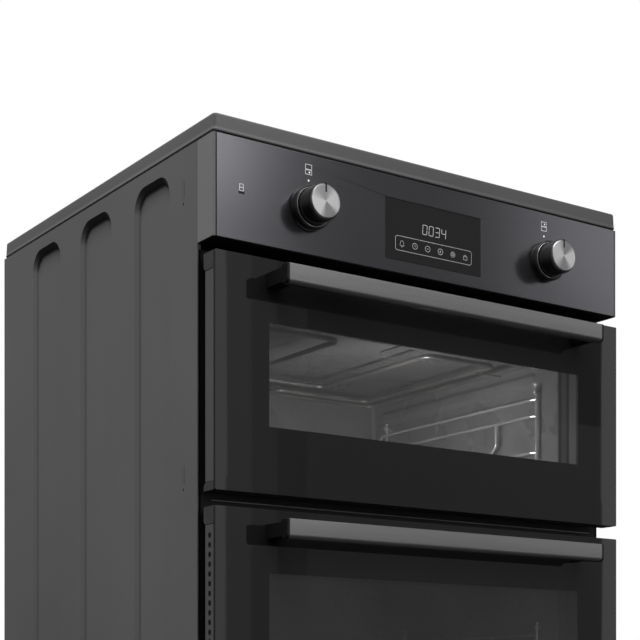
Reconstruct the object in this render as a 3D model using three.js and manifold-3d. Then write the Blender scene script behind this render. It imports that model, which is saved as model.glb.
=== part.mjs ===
// A free-standing cooker with two ovens: a glass hob in a steel surround, a fascia with two
// selector knobs and a clock, a drop-down grill door and a drop-down main oven door.
// Millimetres, +Z up, +X right, the front faces -Y. The origin is at floor level under the middle.
import * as THREE from 'three';
import { mergeVertices } from 'three/addons/utils/BufferGeometryUtils.js';
import Module from 'manifold-3d';

const wasm = await Module();
wasm.setup();

// Overall
const width = 600;
const height = 900;
const depth = 600; // fascia front to rear panel
const handleReach = 46; // handle front ahead of the fascia's face
const frontY = -(depth - handleReach) / 2;
const clearance = 0.4; // between seated faces
const sheet = 1.2; // pressed steel

// Front, from the top down
const hobHeight = 20;
const hobGap = 1.8;
const fasciaHeight = 113;
const fasciaGap = 14.5; // above the grill door
const topDoorHeight = 261;
const doorGap = 17; // between the doors
const mainDoorHeight = 384;

const hobBottom = height - hobHeight;
const fasciaTop = hobBottom - hobGap;
const fasciaBottom = fasciaTop - fasciaHeight;
const topDoorTop = fasciaBottom - fasciaGap;
const topDoorBottom = topDoorTop - topDoorHeight;
const mainDoorTop = topDoorBottom - doorGap;
const mainDoorBottom = mainDoorTop - mainDoorHeight;

// Cabinet
const floorGap = 25; // under the base tray
const returnDepth = 37; // the fascia's side return, and the doors with their seals
const frameFront = returnDepth;
const frameBack = frameFront + sheet;
const channel = { count: 3, width: 91, land: 64.5, depth: 4, slope: 7, radius: 27 };
const channelPitch = (depth - returnDepth - 104) / channel.count;
const channelTop = fasciaTop - 16;
const channelBottom = 90;
const plinthSetback = 52;
const foot = { radius: 20, pad: 8, stem: 5, insetX: 55, insetY: 70 };

// Hob
const hobInset = 0.6; // surround behind the fascia's faces
const hobDraft = 1.2; // the surround's sides lean in by this
const hobCorner = 5;
const hobLip = 13; // surround seen around the glass
const hobLedge = 11; // shelf under the glass
const glassThickness = 4;
const hobTrayZ = hobBottom - 14;
const hobElement = { large: 90, small: 72, insetX: 155, insetFront: 165, insetRear: 170, wall: 3 };

// Fascia
const fasciaCheek = 3.6; // side return seen beside the front panel
const fasciaPanel = 2;
const fasciaWall = 2.4;
const knobX = 177;
const knobDrop = 61.6; // knob centre below the fascia's top
const knob = { radius: 20.8, cap: 18.7, front: 35, bezel: 25, bezelDepth: 10, shaft: 3, slot: 9 };
const shaftHole = knob.shaft + 2;
const display = { width: 143.2, height: 72, drop: 62.3 };
const switchBox = { size: 38, front: 8, back: 33, stop: 24 };

// Ovens, seen from the front; a cavity's front edge meets the front frame
const cavityMargin = 68; // from a cavity's wall to the cooker's side
const cavityWidth = width - 2 * cavityMargin;
const cavityInset = 41; // cavity floor above its door's bottom
const topCavity = { name: 'top', height: topDoorHeight - 73, depth: depth - 180 };
const mainCavity = { name: 'main', height: mainDoorHeight - 74, depth: depth - 200 };
const cavityFlange = 12;
const insulationThickness = 22;
const seal = { lap: 4, width: 10 };

// Doors
const doorSideGap = 1.5;
const doorFront = -1.5; // the door glass stands ahead of the fascia's face
const doorPan = { back: 22, skin: 1.2, lower: 67, upper: 52, lap: 4.5 };
const innerGlassBorder = 40;
const handle = { inset: 65.5, height: 22.2, drop: 13.8, thickness: 12, cap: 3, arm: 17, armDrop: 3 };
const handleHalf = width / 2 - handle.inset;
const pivot = { s: 16, rise: 13, arm: 3, eye: 6.5, pin: 3, reach: 90, slack: 1 };
const pivotX = cavityWidth / 2 + 28;

// Inside the ovens
const wire = 2.5; // rack and shelf wire radius
const rackInset = 6; // rack uprights from the cavity wall
const railInset = 9.5;
const railHeights = { top: [26, 59, 107, 129], main: [26, 74, 122, 170, 218] };
const shelfBars = 9;
const grillTube = 3.3;
const mainBack = frameBack + clearance + mainCavity.depth;
const fan = { radius: 72, hub: 14, shaft: 4, blades: 8, front: mainBack - 30.6, back: mainBack - 10.6 };
const fanCover = { width: 280, height: 240, front: mainBack - 43.6 };
const ring = { radius: fan.radius + 20, tube: 3.3, s: mainBack - 20.6 };
const lamp = { radius: 21, x: -(cavityWidth / 2 - 52), drop: 30 };

const parts = new THREE.Group();

// Distance behind the fascia's front, as a Y coordinate.
const behind = (s) => frontY + s;

function part(name, geometry, color, roughness, metalness) {
  const material = new THREE.MeshStandardMaterial({ color, roughness, metalness });
  const mesh = new THREE.Mesh(geometry, material);
  mesh.name = name;
  parts.add(mesh);
}

// --- Shapes -----------------------------------------------------------------

function solidOf(geometry) {
  const bare = geometry.clone();
  bare.deleteAttribute('normal');
  bare.deleteAttribute('uv');
  const merged = mergeVertices(bare, 1e-4);
  const mesh = new wasm.Mesh({
    numProp: 3,
    vertProperties: new Float32Array(merged.getAttribute('position').array),
    triVerts: new Uint32Array(merged.index.array),
  });
  return new wasm.Manifold(mesh);
}

function geometryOf(solid) {
  const mesh = solid.getMesh();
  const geometry = new THREE.BufferGeometry();
  geometry.setAttribute('position', new THREE.BufferAttribute(mesh.vertProperties, 3));
  geometry.setIndex(new THREE.BufferAttribute(mesh.triVerts, 1));
  const faceted = geometry.toNonIndexed();
  faceted.computeVertexNormals();
  return faceted;
}

function join(...geometries) {
  const solids = geometries.map(solidOf);
  return geometryOf(solids.reduce((sum, solid) => sum.add(solid)));
}

function cut(geometry, ...tools) {
  const solids = tools.map(solidOf);
  return geometryOf(solids.reduce((rest, solid) => rest.subtract(solid), solidOf(geometry)));
}

// A box from its limits: x and z as they are, s as distances behind the fascia's front.
function block(x0, x1, s0, s1, z0, z1) {
  const box = new THREE.BoxGeometry(x1 - x0, s1 - s0, z1 - z0);
  return box.translate((x0 + x1) / 2, behind((s0 + s1) / 2), (z0 + z1) / 2);
}

// A solid of revolution about a line along Y; the profile holds [radius, s] pairs.
function turnedY(profile, x, z, sides) {
  const points = profile.map(([r, s]) => new THREE.Vector2(r, s));
  const turned = new THREE.LatheGeometry(points, sides);
  return turned.translate(0, frontY, 0).applyMatrix4(new THREE.Matrix4().makeTranslation(x, 0, z));
}

// A solid of revolution about a vertical line; the profile holds [radius, z] pairs.
function turnedZ(profile, x, s, sides) {
  const points = profile.map(([r, z]) => new THREE.Vector2(r, z));
  const turned = new THREE.LatheGeometry(points, sides);
  return turned.rotateX(Math.PI / 2).translate(x, behind(s), 0);
}

const rodY = (r, x, s0, s1, z, sides) => turnedY([[0, s0], [r, s0], [r, s1], [0, s1]], x, z, sides);
const rodZ = (r, x, s, z0, z1, sides) => turnedZ([[0, z0], [r, z0], [r, z1], [0, z1]], x, s, sides);

function rodX(r, x0, x1, s, z, sides) {
  const rod = new THREE.CylinderGeometry(r, r, x1 - x0, sides);
  return rod.rotateZ(Math.PI / 2).translate((x0 + x1) / 2, behind(s), z);
}

// A rectangle with round corners, anticlockwise, as a closed list of points.
function roundedOutline(w, h, r, steps = 3) {
  const centres = [[1, 1], [-1, 1], [-1, -1], [1, -1]];
  return centres.flatMap(([sx, sy], quarter) =>
    Array.from({ length: steps + 1 }, (_, i) => {
      const angle = ((quarter + i / steps) * Math.PI) / 2;
      const x = sx * (w / 2 - r) + r * Math.cos(angle);
      const y = sy * (h / 2 - r) + r * Math.sin(angle);
      return new THREE.Vector2(x, y);
    }));
}

// A closed body through rounded rectangles at rising heights; a level is { z, w, h, r }.
function loft(levels, steps) {
  const rings = levels.map(({ z, w, h, r }) =>
    roundedOutline(w, h, r, steps).map((p) => new THREE.Vector3(p.x, p.y, z)));
  const count = rings[0].length;
  const index = [];
  for (let level = 0; level + 1 < rings.length; level += 1) {
    for (let i = 0; i < count; i += 1) {
      const a = level * count + i;
      const b = level * count + ((i + 1) % count);
      index.push(a, b, b + count, a, b + count, a + count);
    }
  }
  const top = (rings.length - 1) * count;
  for (let i = 1; i + 1 < count; i += 1) {
    index.push(0, i + 1, i, top, top + i, top + i + 1);
  }
  const geometry = new THREE.BufferGeometry().setFromPoints(rings.flat());
  geometry.setIndex(index);
  return geometry;
}

// A flat ring with round corners that lies in the front plane, between two depths.
function frameRing(w, h, r, band, s0, s1, z) {
  const shape = new THREE.Shape(roundedOutline(w + 2 * band, h + 2 * band, r + band));
  shape.holes.push(new THREE.Path(roundedOutline(w, h, r)));
  const flat = new THREE.ExtrudeGeometry(shape, { depth: s1 - s0, bevelEnabled: false });
  return flat.rotateX(Math.PI / 2).translate(0, behind(s1), z);
}

// A bent wire: straight runs between the given points, with every corner rounded.
class BentWire extends THREE.Curve {
  constructor(corners, bend, steps) {
    super();
    this.knots = [corners[0]];
    for (let i = 1; i + 1 < corners.length; i += 1) {
      const before = corners[i - 1].clone().sub(corners[i]);
      const after = corners[i + 1].clone().sub(corners[i]);
      const reach = Math.min(bend, before.length() / 2.1, after.length() / 2.1);
      const start = before.setLength(reach).add(corners[i]);
      const end = after.setLength(reach).add(corners[i]);
      const arc = new THREE.QuadraticBezierCurve3(start, corners[i], end);
      this.knots.push(...arc.getPoints(steps));
    }
    this.knots.push(corners.at(-1));
  }

  getPoint(t, target = new THREE.Vector3()) {
    const place = t * (this.knots.length - 1);
    const i = Math.min(Math.floor(place), this.knots.length - 2);
    return target.copy(this.knots[i]).lerp(this.knots[i + 1], place - i);
  }

  getPointAt(u, target) {
    return this.getPoint(u, target);
  }

  getTangentAt(u, target) {
    return this.getTangent(u, target);
  }
}

// A round tube along a bent wire; the corners are [x, s, z] triples.
function tube(corners, radius, bend, steps = 3) {
  const sides = 6;
  const points = corners.map(([x, s, z]) => new THREE.Vector3(x, behind(s), z));
  const path = new BentWire(points, bend, steps);
  const section = new THREE.Shape(
    Array.from({ length: sides }, (_, i) => {
      const angle = (2 * Math.PI * i) / sides;
      return new THREE.Vector2(radius * Math.cos(angle), radius * Math.sin(angle));
    }));
  return new THREE.ExtrudeGeometry(section, { steps: path.knots.length - 1, extrudePath: path });
}

// The mirror image across the middle plane, with each face turned to point out again.
function mirrored(geometry) {
  const image = geometry.index ? geometry.toNonIndexed() : geometry.clone();
  image.scale(-1, 1, 1);
  const position = image.getAttribute('position');
  const corner = new THREE.Vector3();
  for (let i = 0; i < position.count; i += 3) {
    corner.fromBufferAttribute(position, i);
    position.copyAt(i, position, i + 1);
    position.setXYZ(i + 1, ...corner);
  }
  return image;
}

// The same piece on the right and, mirrored, on the left.
function pair(name, rightGeometry, color, roughness, metalness) {
  part(`${name}_right`, rightGeometry, color, roughness, metalness);
  part(`${name}_left`, mirrored(rightGeometry), color, roughness, metalness);
}

// --- Cabinet ------------------------------------------------------------------

// Turns a body that rises along Z to stand out along X, with its width along Y.
const sideways = new THREE.Matrix4().makeBasis(
  new THREE.Vector3(0, 1, 0), new THREE.Vector3(0, 0, 1), new THREE.Vector3(1, 0, 0));

// A pressed channel, as a body that stands in from the right panel's outer face.
function channelBody(middle, stand, grow) {
  const tall = channelTop - channelBottom;
  const floor = { w: channel.width - 2 * channel.slope, h: tall - 2 * channel.slope };
  const levels = [
    { z: -stand, w: floor.w + grow, h: floor.h + grow, r: channel.radius - channel.slope },
    { z: 0, w: channel.width + grow, h: tall + grow, r: channel.radius },
    { z: sheet / 4, w: channel.width + grow, h: tall + grow, r: channel.radius },
  ];
  const body = loft(levels).applyMatrix4(sideways);
  return body.translate(width / 2, behind(middle), (channelTop + channelBottom) / 2);
}

function sidePanel() {
  const outer = width / 2;
  const rear = depth - sheet - clearance;
  let panel = block(outer - sheet, outer, returnDepth, rear, floorGap, fasciaTop);
  for (let i = 0; i < channel.count; i += 1) {
    const middle = returnDepth + channel.land + channel.width / 2 + i * channelPitch;
    const pan = cut(channelBody(middle, channel.depth + sheet, 2 * sheet),
      block(outer, outer + sheet, returnDepth, rear, floorGap, fasciaTop));
    panel = cut(join(panel, pan), channelBody(middle, channel.depth, 0));
  }
  return panel;
}

function rearPanel() {
  const slots = [];
  for (const x of [-150, 150]) {
    for (let row = 0; row < 4; row += 1) {
      const z = fasciaTop - 90 - row * 16;
      slots.push(block(x - 60, x + 60, depth - 5, depth + 1, z, z + 5));
    }
  }
  const plate = block(-width / 2, width / 2, depth - sheet, depth, floorGap, fasciaTop);
  const cableEntry = rodY(11, terminal.x, depth - 5, depth + 1, terminal.z, 20);
  return cut(plate, cableEntry, ...slots);
}

const terminal = { x: 190, z: 170, width: 90, height: 70, depth: 40 };

function terminalBox() {
  const { x, z, width: w, height: h } = terminal;
  const back = depth - sheet - clearance;
  const front = back - terminal.depth;
  const shell = block(x - w / 2, x + w / 2, front, back, z - h / 2, z + h / 2);
  const hollow = block(x - w / 2 + 2, x + w / 2 - 2, front + 2, back + 1, z - h / 2 + 2, z + h / 2 - 2);
  const rail = block(x - 30, x + 30, front + 1, front + 18, z + 5, z + 20);
  return join(cut(shell, hollow), rail);
}

const footX = width / 2 - foot.insetX;
const footDepths = { front: foot.insetY, rear: depth - foot.insetY };

function baseTray() {
  const edge = width / 2 - sheet - clearance;
  const rear = depth - sheet - clearance;
  const tray = cut(
    block(-edge, edge, returnDepth + 15, rear, floorGap, floorGap + 20),
    block(-edge + sheet, edge - sheet, returnDepth + 15 + sheet, rear - sheet,
      floorGap + sheet, floorGap + 30));
  const holes = [-footX, footX].flatMap((x) =>
    Object.values(footDepths).map((s) => rodZ(foot.stem + 1, x, s, floorGap - 5, floorGap + 5, 16)));
  return cut(tray, ...holes);
}

function footBody(x, s) {
  const profile = [
    [0, 0], [foot.radius, 0], [foot.radius, foot.pad - 2], [foot.radius - 2, foot.pad],
    [foot.stem, foot.pad + 2], [foot.stem, floorGap + 14], [0, floorGap + 14],
  ];
  return turnedZ(profile, x, s, 16);
}

function plinth() {
  const edge = width / 2 - sheet - 2 * clearance;
  const bottom = floorGap + 20 + clearance;
  const top = mainDoorBottom - 8;
  const plate = block(-edge, edge, plinthSetback - 12, plinthSetback - 12 + sheet, bottom, top);
  const turnedIn = block(-edge, edge, plinthSetback - 12, plinthSetback + 10, top - sheet, top);
  return join(plate, turnedIn);
}

const cavityFloor = { top: topDoorBottom + cavityInset, main: mainDoorBottom + cavityInset };
const pivotZ = { top: topDoorBottom + pivot.rise, main: mainDoorBottom + pivot.rise };

function frontFrame() {
  const edge = width / 2 - sheet - clearance;
  const bottom = mainDoorBottom;
  const top = topDoorTop + 8;
  const shell = block(-edge, edge, frameFront, frameFront + 14, bottom, top);
  const hollow = block(-edge + sheet, edge - sheet, frameBack, frameFront + 15,
    bottom - 1, top - sheet);
  const openings = [topCavity, mainCavity].map(({ name, height: tall }) =>
    block(-cavityWidth / 2, cavityWidth / 2, 0, frameBack + 1,
      cavityFloor[name], cavityFloor[name] + tall));
  const slots = [-pivotX, pivotX].flatMap((x) =>
    Object.values(pivotZ).map((z) => block(x - 4, x + 4, 0, frameBack + 1, z - 10, z + 10)));
  return cut(shell, hollow, ...openings, ...slots);
}

function buildCabinet() {
  pair('side_panel', sidePanel(), 0x3d3e41, 0.45, 0.3);
  part('rear_panel', rearPanel(), 0x9a9c9e, 0.45, 0.8);
  part('base_tray', baseTray(), 0x9a9c9e, 0.45, 0.8);
  part('plinth', plinth(), 0x2a2b2d, 0.5, 0.3);
  part('front_frame', frontFrame(), 0x1b1b1c, 0.35, 0.1);
  part('terminal_box', terminalBox(), 0x242424, 0.6, 0);
  for (const [end, s] of Object.entries(footDepths)) {
    part(`foot_${end}_left`, footBody(-footX, s), 0x1c1c1c, 0.7, 0);
    part(`foot_${end}_right`, footBody(footX, s), 0x1c1c1c, 0.7, 0);
  }
}

// --- Hob ----------------------------------------------------------------------

const hobWidth = width - 2 * hobInset;
const hobDepth = depth - 2 * hobInset;

function hobFrame() {
  const level = (z, inset, r) => ({ z, w: hobWidth - 2 * inset, h: hobDepth - 2 * inset, r });
  const body = loft([
    level(hobBottom, 0, hobCorner),
    level(height - 3, hobDraft - 0.2, hobCorner),
    level(height - 0.8, hobDraft + 0.5, hobCorner),
    level(height, hobDraft + 1.8, hobCorner),
  ]).translate(0, behind(depth / 2), 0);
  const x = hobWidth / 2 - hobLip;
  const near = hobInset + hobLip;
  const seat = height - glassThickness - 2 * clearance;
  const pocket = block(-x, x, near, depth - near, seat, height + 1);
  const opening = block(-x + hobLedge, x - hobLedge, near + hobLedge, depth - near - hobLedge,
    hobBottom - 1, height);
  return cut(body, pocket, opening);
}

function hobGlass() {
  const x = hobWidth / 2 - hobLip - clearance;
  const near = hobInset + hobLip + clearance;
  return block(-x, x, near, depth - near, height - glassThickness - clearance, height - clearance);
}

function elementTray() {
  const x = hobWidth / 2 - hobLip - hobLedge - 4;
  const near = returnDepth + 8;
  const under = height - glassThickness - 3 * clearance;
  const plate = block(-x, x, near, depth - near + 20, hobTrayZ, hobTrayZ + sheet);
  const { large, small, insetX, insetFront, insetRear, wall } = hobElement;
  const places = [
    [-1, insetFront, large], [1, insetFront, small],
    [-1, depth - insetRear, small], [1, depth - insetRear, large],
  ];
  const disc = (grow, z0, z1) => places.map(([side, s, r]) =>
    rodZ(r + grow, side * (width / 2 - insetX), s, z0, z1, 24));
  const bowls = disc(0, hobTrayZ, under);
  const hollows = disc(-wall, hobTrayZ + wall, under + 1);
  return cut(join(plate, ...bowls), ...hollows);
}

function buildHob() {
  part('hob_frame', hobFrame(), 0x47484a, 0.35, 0.7);
  part('hob_glass', hobGlass(), 0x0a0a0b, 0.05, 0);
  part('element_tray', elementTray(), 0xa5a7a9, 0.4, 0.85);
}

// --- Fascia -------------------------------------------------------------------

const knobZ = fasciaTop - knobDrop;
const displayZ = fasciaTop - display.drop;
const panelEdge = width / 2 - fasciaCheek;

function fasciaHousing() {
  const w = width / 2;
  const r = 4;
  const outline = new THREE.Shape();
  outline.moveTo(-w, returnDepth - clearance);
  outline.lineTo(-w, r);
  outline.absarc(-w + r, r, r, Math.PI, 1.5 * Math.PI, false);
  outline.lineTo(w - r, 0);
  outline.absarc(w - r, r, r, 1.5 * Math.PI, 2 * Math.PI, false);
  outline.lineTo(w, returnDepth - clearance);
  const body = new THREE.ExtrudeGeometry(outline,
    { depth: fasciaHeight, bevelEnabled: false, curveSegments: 6 });
  body.translate(0, frontY, fasciaBottom);
  const rebate = fasciaPanel + clearance;
  const wall = rebate + fasciaWall;
  const cheek = panelEdge + clearance;
  const holes = [-knobX, knobX].map((x) => rodY(shaftHole, x, 0, wall + 1, knobZ, 20));
  const window = block(-display.width / 2 + 8, display.width / 2 - 8, 0, wall + 1,
    displayZ - display.height / 2 + 6, displayZ + display.height / 2 - 6);
  return cut(body,
    block(-cheek, cheek, -1, rebate, fasciaBottom - 1, fasciaTop + 1),
    block(-w + fasciaWall, w - fasciaWall, wall, depth, fasciaBottom + fasciaWall,
      fasciaTop - fasciaWall),
    window, ...holes);
}

function fasciaFront() {
  const plate = block(-panelEdge, panelEdge, 0, fasciaPanel, fasciaBottom, fasciaTop);
  const holes = [-knobX, knobX].map((x) => rodY(shaftHole, x, -1, fasciaPanel + 1, knobZ, 20));
  const window = block(-display.width / 2, display.width / 2, -1, fasciaPanel + 1,
    displayZ - display.height / 2, displayZ + display.height / 2);
  return cut(plate, window, ...holes);
}

function displayGlass() {
  const w = display.width / 2 - clearance;
  const h = display.height / 2 - clearance;
  return block(-w, w, 0.1, fasciaPanel, displayZ - h, displayZ + h);
}

function controlBoard() {
  const front = fasciaPanel + fasciaWall + 6;
  const w = display.width / 2 - 5.6;
  const h = display.height / 2 - 3;
  return join(
    block(-w, w, front, front + 1.6, displayZ - h, displayZ + h),
    block(-w + 16, w - 16, front - 5, front + 0.5, displayZ - 12, displayZ + 20),
    block(-w + 8, -w + 46, front + 1, front + 20, displayZ - 28, displayZ - 4),
    block(5, 30, front + 1, front + 14, displayZ - 25, displayZ + 15));
}

function bezel(x) {
  const { bezel: outer, bezelDepth: deep } = knob;
  const profile = [
    [shaftHole, -deep], [outer - 1, -deep], [outer, -deep + 1], [outer, -clearance],
    [shaftHole, -clearance], [shaftHole, -deep],
  ];
  return turnedY(profile, x, knobZ, 28);
}

function selectorSwitch(x) {
  const half = switchBox.size / 2;
  const box = block(x - half, x + half, switchBox.front, switchBox.back, knobZ - half, knobZ + half);
  return cut(box, rodY(knob.shaft + 0.5, x, 0, switchBox.stop + 1, knobZ, 16));
}

function knobBody(x) {
  const back = -knob.bezelDepth - 2 * clearance;
  const profile = [
    [0, -knob.front], [knob.cap - 1, -knob.front], [knob.cap, -knob.front + 1.6],
    [knob.radius, -knob.front + 3.5], [knob.radius, back], [knob.shaft, back],
    [knob.shaft, switchBox.stop], [0, switchBox.stop],
  ];
  const turned = turnedY(profile, x, knobZ, 28);
  const pointer = block(x - 0.8, x + 0.8, -knob.front - 1, -knob.front + 0.8,
    knobZ + knob.cap - knob.slot, knobZ + knob.cap + 1);
  return cut(turned, pointer);
}

function buildFascia() {
  part('fascia_housing', fasciaHousing(), 0x4a4b4e, 0.4, 0.5);
  part('fascia_panel', fasciaFront(), 0x3e3e43, 0.35, 0.7);
  part('display_glass', displayGlass(), 0x1c1c1e, 0.15, 0);
  part('control_board', controlBoard(), 0x1f4d2c, 0.6, 0);
  for (const [side, x] of [['left', -knobX], ['right', knobX]]) {
    part(`knob_bezel_${side}`, bezel(x), 0x161617, 0.25, 0);
    part(`selector_switch_${side}`, selectorSwitch(x), 0xd8d4c8, 0.5, 0);
    part(`knob_${side}`, knobBody(x), 0xb9babd, 0.3, 1);
  }
}

// --- Ovens --------------------------------------------------------------------

const cavityFront = frameBack + clearance;
const liner = sheet + clearance; // cavity wall and the gap around it

function cavityLimits({ name, height: tall, depth: deep }) {
  const floor = cavityFloor[name];
  return { floor, ceiling: floor + tall, back: cavityFront + deep };
}

function lampPlace(cavity) {
  const { ceiling, back } = cavityLimits(cavity);
  return { x: lamp.x, z: ceiling - lamp.drop, back };
}

function cavityShell(cavity, ...openings) {
  const { floor, ceiling, back } = cavityLimits(cavity);
  const x = cavityWidth / 2;
  const flange = x + cavityFlange;
  const body = join(
    block(-x - sheet, x + sheet, cavityFront, back + sheet, floor - sheet, ceiling + sheet),
    block(-flange, flange, cavityFront, cavityFront + sheet,
      floor - cavityFlange, ceiling + cavityFlange));
  const place = lampPlace(cavity);
  return cut(body,
    block(-x, x, cavityFront - 1, back, floor, ceiling),
    rodY(lamp.radius - 3, place.x, back - 1, back + 3, place.z, 20),
    ...openings);
}

function cavitySeal(cavity) {
  const { floor, ceiling } = cavityLimits(cavity);
  return frameRing(cavityWidth + 2 * seal.lap, ceiling - floor + 2 * seal.lap, 12, seal.width,
    doorBack + clearance, frameFront - clearance, (floor + ceiling) / 2);
}

function lampBody(cavity) {
  const { x, z, back } = lampPlace(cavity);
  const r = lamp.radius;
  const profile = [
    [0, back - 12], [r - 8, back - 11], [r - 1, back - 5], [r, back - clearance],
    [r - 4, back - clearance], [r - 4, back + insulationThickness + 14],
    [0, back + insulationThickness + 14],
  ];
  return turnedY(profile, x, z, 16);
}

const grillZ = cavityLimits(topCavity).ceiling - 16;
const grillCross = grillZ - 14; // the return lead passes under the outer loop
const grillBack = cavityLimits(topCavity).back;
const grillLeads = [-24, -52];

function grillElement() {
  const outer = { x: cavityWidth / 2 - 25, near: 75, far: grillBack - 28 };
  const inner = { x: outer.x - 28, near: outer.near + 28, far: outer.far - 28 };
  const core = { x: 68, far: inner.far - 52 };
  const flat = [
    [grillLeads[0], grillBack + insulationThickness], [grillLeads[0], outer.far],
    [-outer.x, outer.far], [-outer.x, outer.near], [outer.x, outer.near], [outer.x, outer.far],
    [-grillLeads[0], outer.far], [-grillLeads[0], inner.far], [inner.x, inner.far],
    [inner.x, inner.near], [core.x, inner.near], [core.x, core.far], [-core.x, core.far],
    [-core.x, inner.near], [-inner.x, inner.near], [-inner.x, inner.far],
    [grillLeads[1], inner.far],
  ];
  const corners = flat.map(([x, s]) => [x, s, grillZ]);
  corners.push([grillLeads[1], inner.far, grillCross]);
  corners.push([grillLeads[1], grillBack + insulationThickness, grillCross]);
  return tube(corners, grillTube, 14);
}

const fanZ = (cavityFloor.main + cavityLimits(mainCavity).ceiling) / 2;
const ringLeadX = 14;
const ringLeadZ = fanZ - ring.radius;

function ringElement() {
  const turns = 16;
  const half = Math.asin(ringLeadX / ring.radius);
  const loop = Array.from({ length: turns + 1 }, (_, i) => {
    const angle = half + (i / turns) * 2 * (Math.PI - half);
    return [ring.radius * Math.sin(angle), ring.s, fanZ - ring.radius * Math.cos(angle)];
  });
  const behindWall = mainBack + insulationThickness;
  const leads = [loop[0], loop.at(-1)].map(([x, , z]) => [x, behindWall, z]);
  return tube([leads[0], ...loop, leads[1]], ring.tube, 6, 1);
}

function fanCoverPlate() {
  const w = fanCover.width / 2;
  const h = fanCover.height / 2;
  const pan = cut(
    block(-w, w, fanCover.front, mainBack - clearance, fanZ - h, fanZ + h),
    block(-w + 1, w - 1, fanCover.front + 1, mainBack, fanZ - h + 1, fanZ + h - 1));
  const holes = [rodY(9, 0, fanCover.front - 1, fanCover.front + 3, fanZ, 12)];
  for (const { r, count } of [{ r: 32, count: 6 }, { r: 58, count: 10 }]) {
    for (let i = 0; i < count; i += 1) {
      const angle = (2 * Math.PI * i) / count;
      const x = r * Math.cos(angle);
      holes.push(rodY(8, x, fanCover.front - 1, fanCover.front + 3, fanZ + r * Math.sin(angle), 8));
    }
  }
  return cut(pan, ...holes);
}

function fanRotor() {
  const disc = rodY(fan.radius, 0, fan.back - 1.5, fan.back, fanZ, 24);
  const hub = rodY(fan.hub, 0, fan.front, fan.back, fanZ, 16);
  const shaft = rodY(fan.shaft, 0, fan.back - 1, fanMotor.stop - 4, fanZ, 12);
  const blades = Array.from({ length: fan.blades }, (_, i) => {
    const blade = block(fan.hub + 14, fan.radius, fan.front, fan.back - 0.5, -0.75, 0.75);
    return blade.rotateY((2 * Math.PI * i) / fan.blades).translate(0, 0, fanZ);
  });
  return join(disc, hub, shaft, ...blades);
}

const motorFront = mainBack + sheet + insulationThickness + 2;
const fanMotor = { radius: 34, stop: motorFront + 36, back: motorFront + 48 };

function motorBody() {
  const body = rodY(fanMotor.radius, 0, motorFront, fanMotor.back, fanZ, 20);
  const bracket = block(-90, 90, motorFront, motorFront + 2, fanZ - 15, fanZ + 15);
  const bore = rodY(fan.shaft + 0.8, 0, motorFront - 1, fanMotor.stop, fanZ, 16);
  return cut(join(body, bracket), bore);
}

// Ladder of wires on the right wall, with studs that hang it on the wall.
function sideRack(cavity, near, far) {
  const { floor } = cavityLimits(cavity);
  const wall = cavityWidth / 2;
  const uprightX = wall - rackInset;
  const railX = wall - railInset;
  const railZ = railHeights[cavity.name].map((rise) => floor + rise);
  const z0 = railZ[0] - 16;
  const z1 = railZ.at(-1) + 18;
  const uprights = [near + 12, far - 12].map((s) => rodZ(wire, uprightX, s, z0, z1, 6));
  const runs = railZ.map((z) => rodY(wire, railX, near, far, z, 6));
  const studs = [near + 12, far - 12].flatMap((s) =>
    [z0 + 6, z1 - 8].map((z) => rodX(3.5, uprightX, wall - clearance, s, z, 6)));
  return join(...uprights, ...runs, ...studs);
}

// A wire shelf that rests on the lowest rails.
function wireShelf(cavity, near, far) {
  const { floor } = cavityLimits(cavity);
  const z = floor + railHeights[cavity.name][0] + 2 * wire + clearance;
  const x = cavityWidth / 2 - railInset - wire;
  const frame = [
    rodX(wire, -x - wire, x + wire, near, z, 6),
    rodX(wire, -x - wire, x + wire, far, z, 6),
    rodY(wire, -x, near, far, z, 6),
    rodY(wire, x, near, far, z, 6),
  ];
  const bars = Array.from({ length: shelfBars }, (_, i) => {
    const at = -x + ((i + 1) * 2 * x) / (shelfBars + 1);
    return rodY(1.8, at, near, far, z + 0.6, 6);
  });
  return join(...frame, ...bars);
}

function insulation() {
  const x = cavityWidth / 2 + insulationThickness;
  const near = cavityFront + sheet + clearance;
  const top = cavityLimits(topCavity);
  const main = cavityLimits(mainCavity);
  const far = Math.max(top.back, main.back) + sheet + insulationThickness;
  const behindMain = main.back + sheet + insulationThickness;
  const middle = (top.floor + main.ceiling) / 2;
  const blanket = join(
    block(-x, x, near, far, middle, top.ceiling + insulationThickness),
    block(-x, x, near, behindMain, main.floor - insulationThickness, middle + 5));
  const hollows = [top, main].map(({ floor, ceiling, back }) =>
    block(-cavityWidth / 2 - liner, cavityWidth / 2 + liner, near - 1, back + liner,
      floor - liner, ceiling + liner));
  const lamps = [topCavity, mainCavity].map((cavity) => {
    const place = lampPlace(cavity);
    return rodY(lamp.radius, place.x, place.back - 1, far + 1, place.z, 20);
  });
  const leads = [
    rodY(6, grillLeads[0], top.back - 1, far + 1, grillZ, 10),
    rodY(6, grillLeads[1], top.back - 1, far + 1, grillCross, 10),
    rodY(22, 0, main.back - 1, far + 1, fanZ, 20),
    block(-ringLeadX - 8, ringLeadX + 8, main.back - 1, far + 1, ringLeadZ - 8, ringLeadZ + 8),
  ];
  return cut(blanket, ...hollows, ...lamps, ...leads);
}

// A cross-flow fan that draws air over the ovens and out above the grill door.
const blower = { half: 130, radius: 26, s: 190, z: 0, inlet: 34 };
blower.z = cavityLimits(topCavity).ceiling + insulationThickness + 14 + blower.radius;

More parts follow.
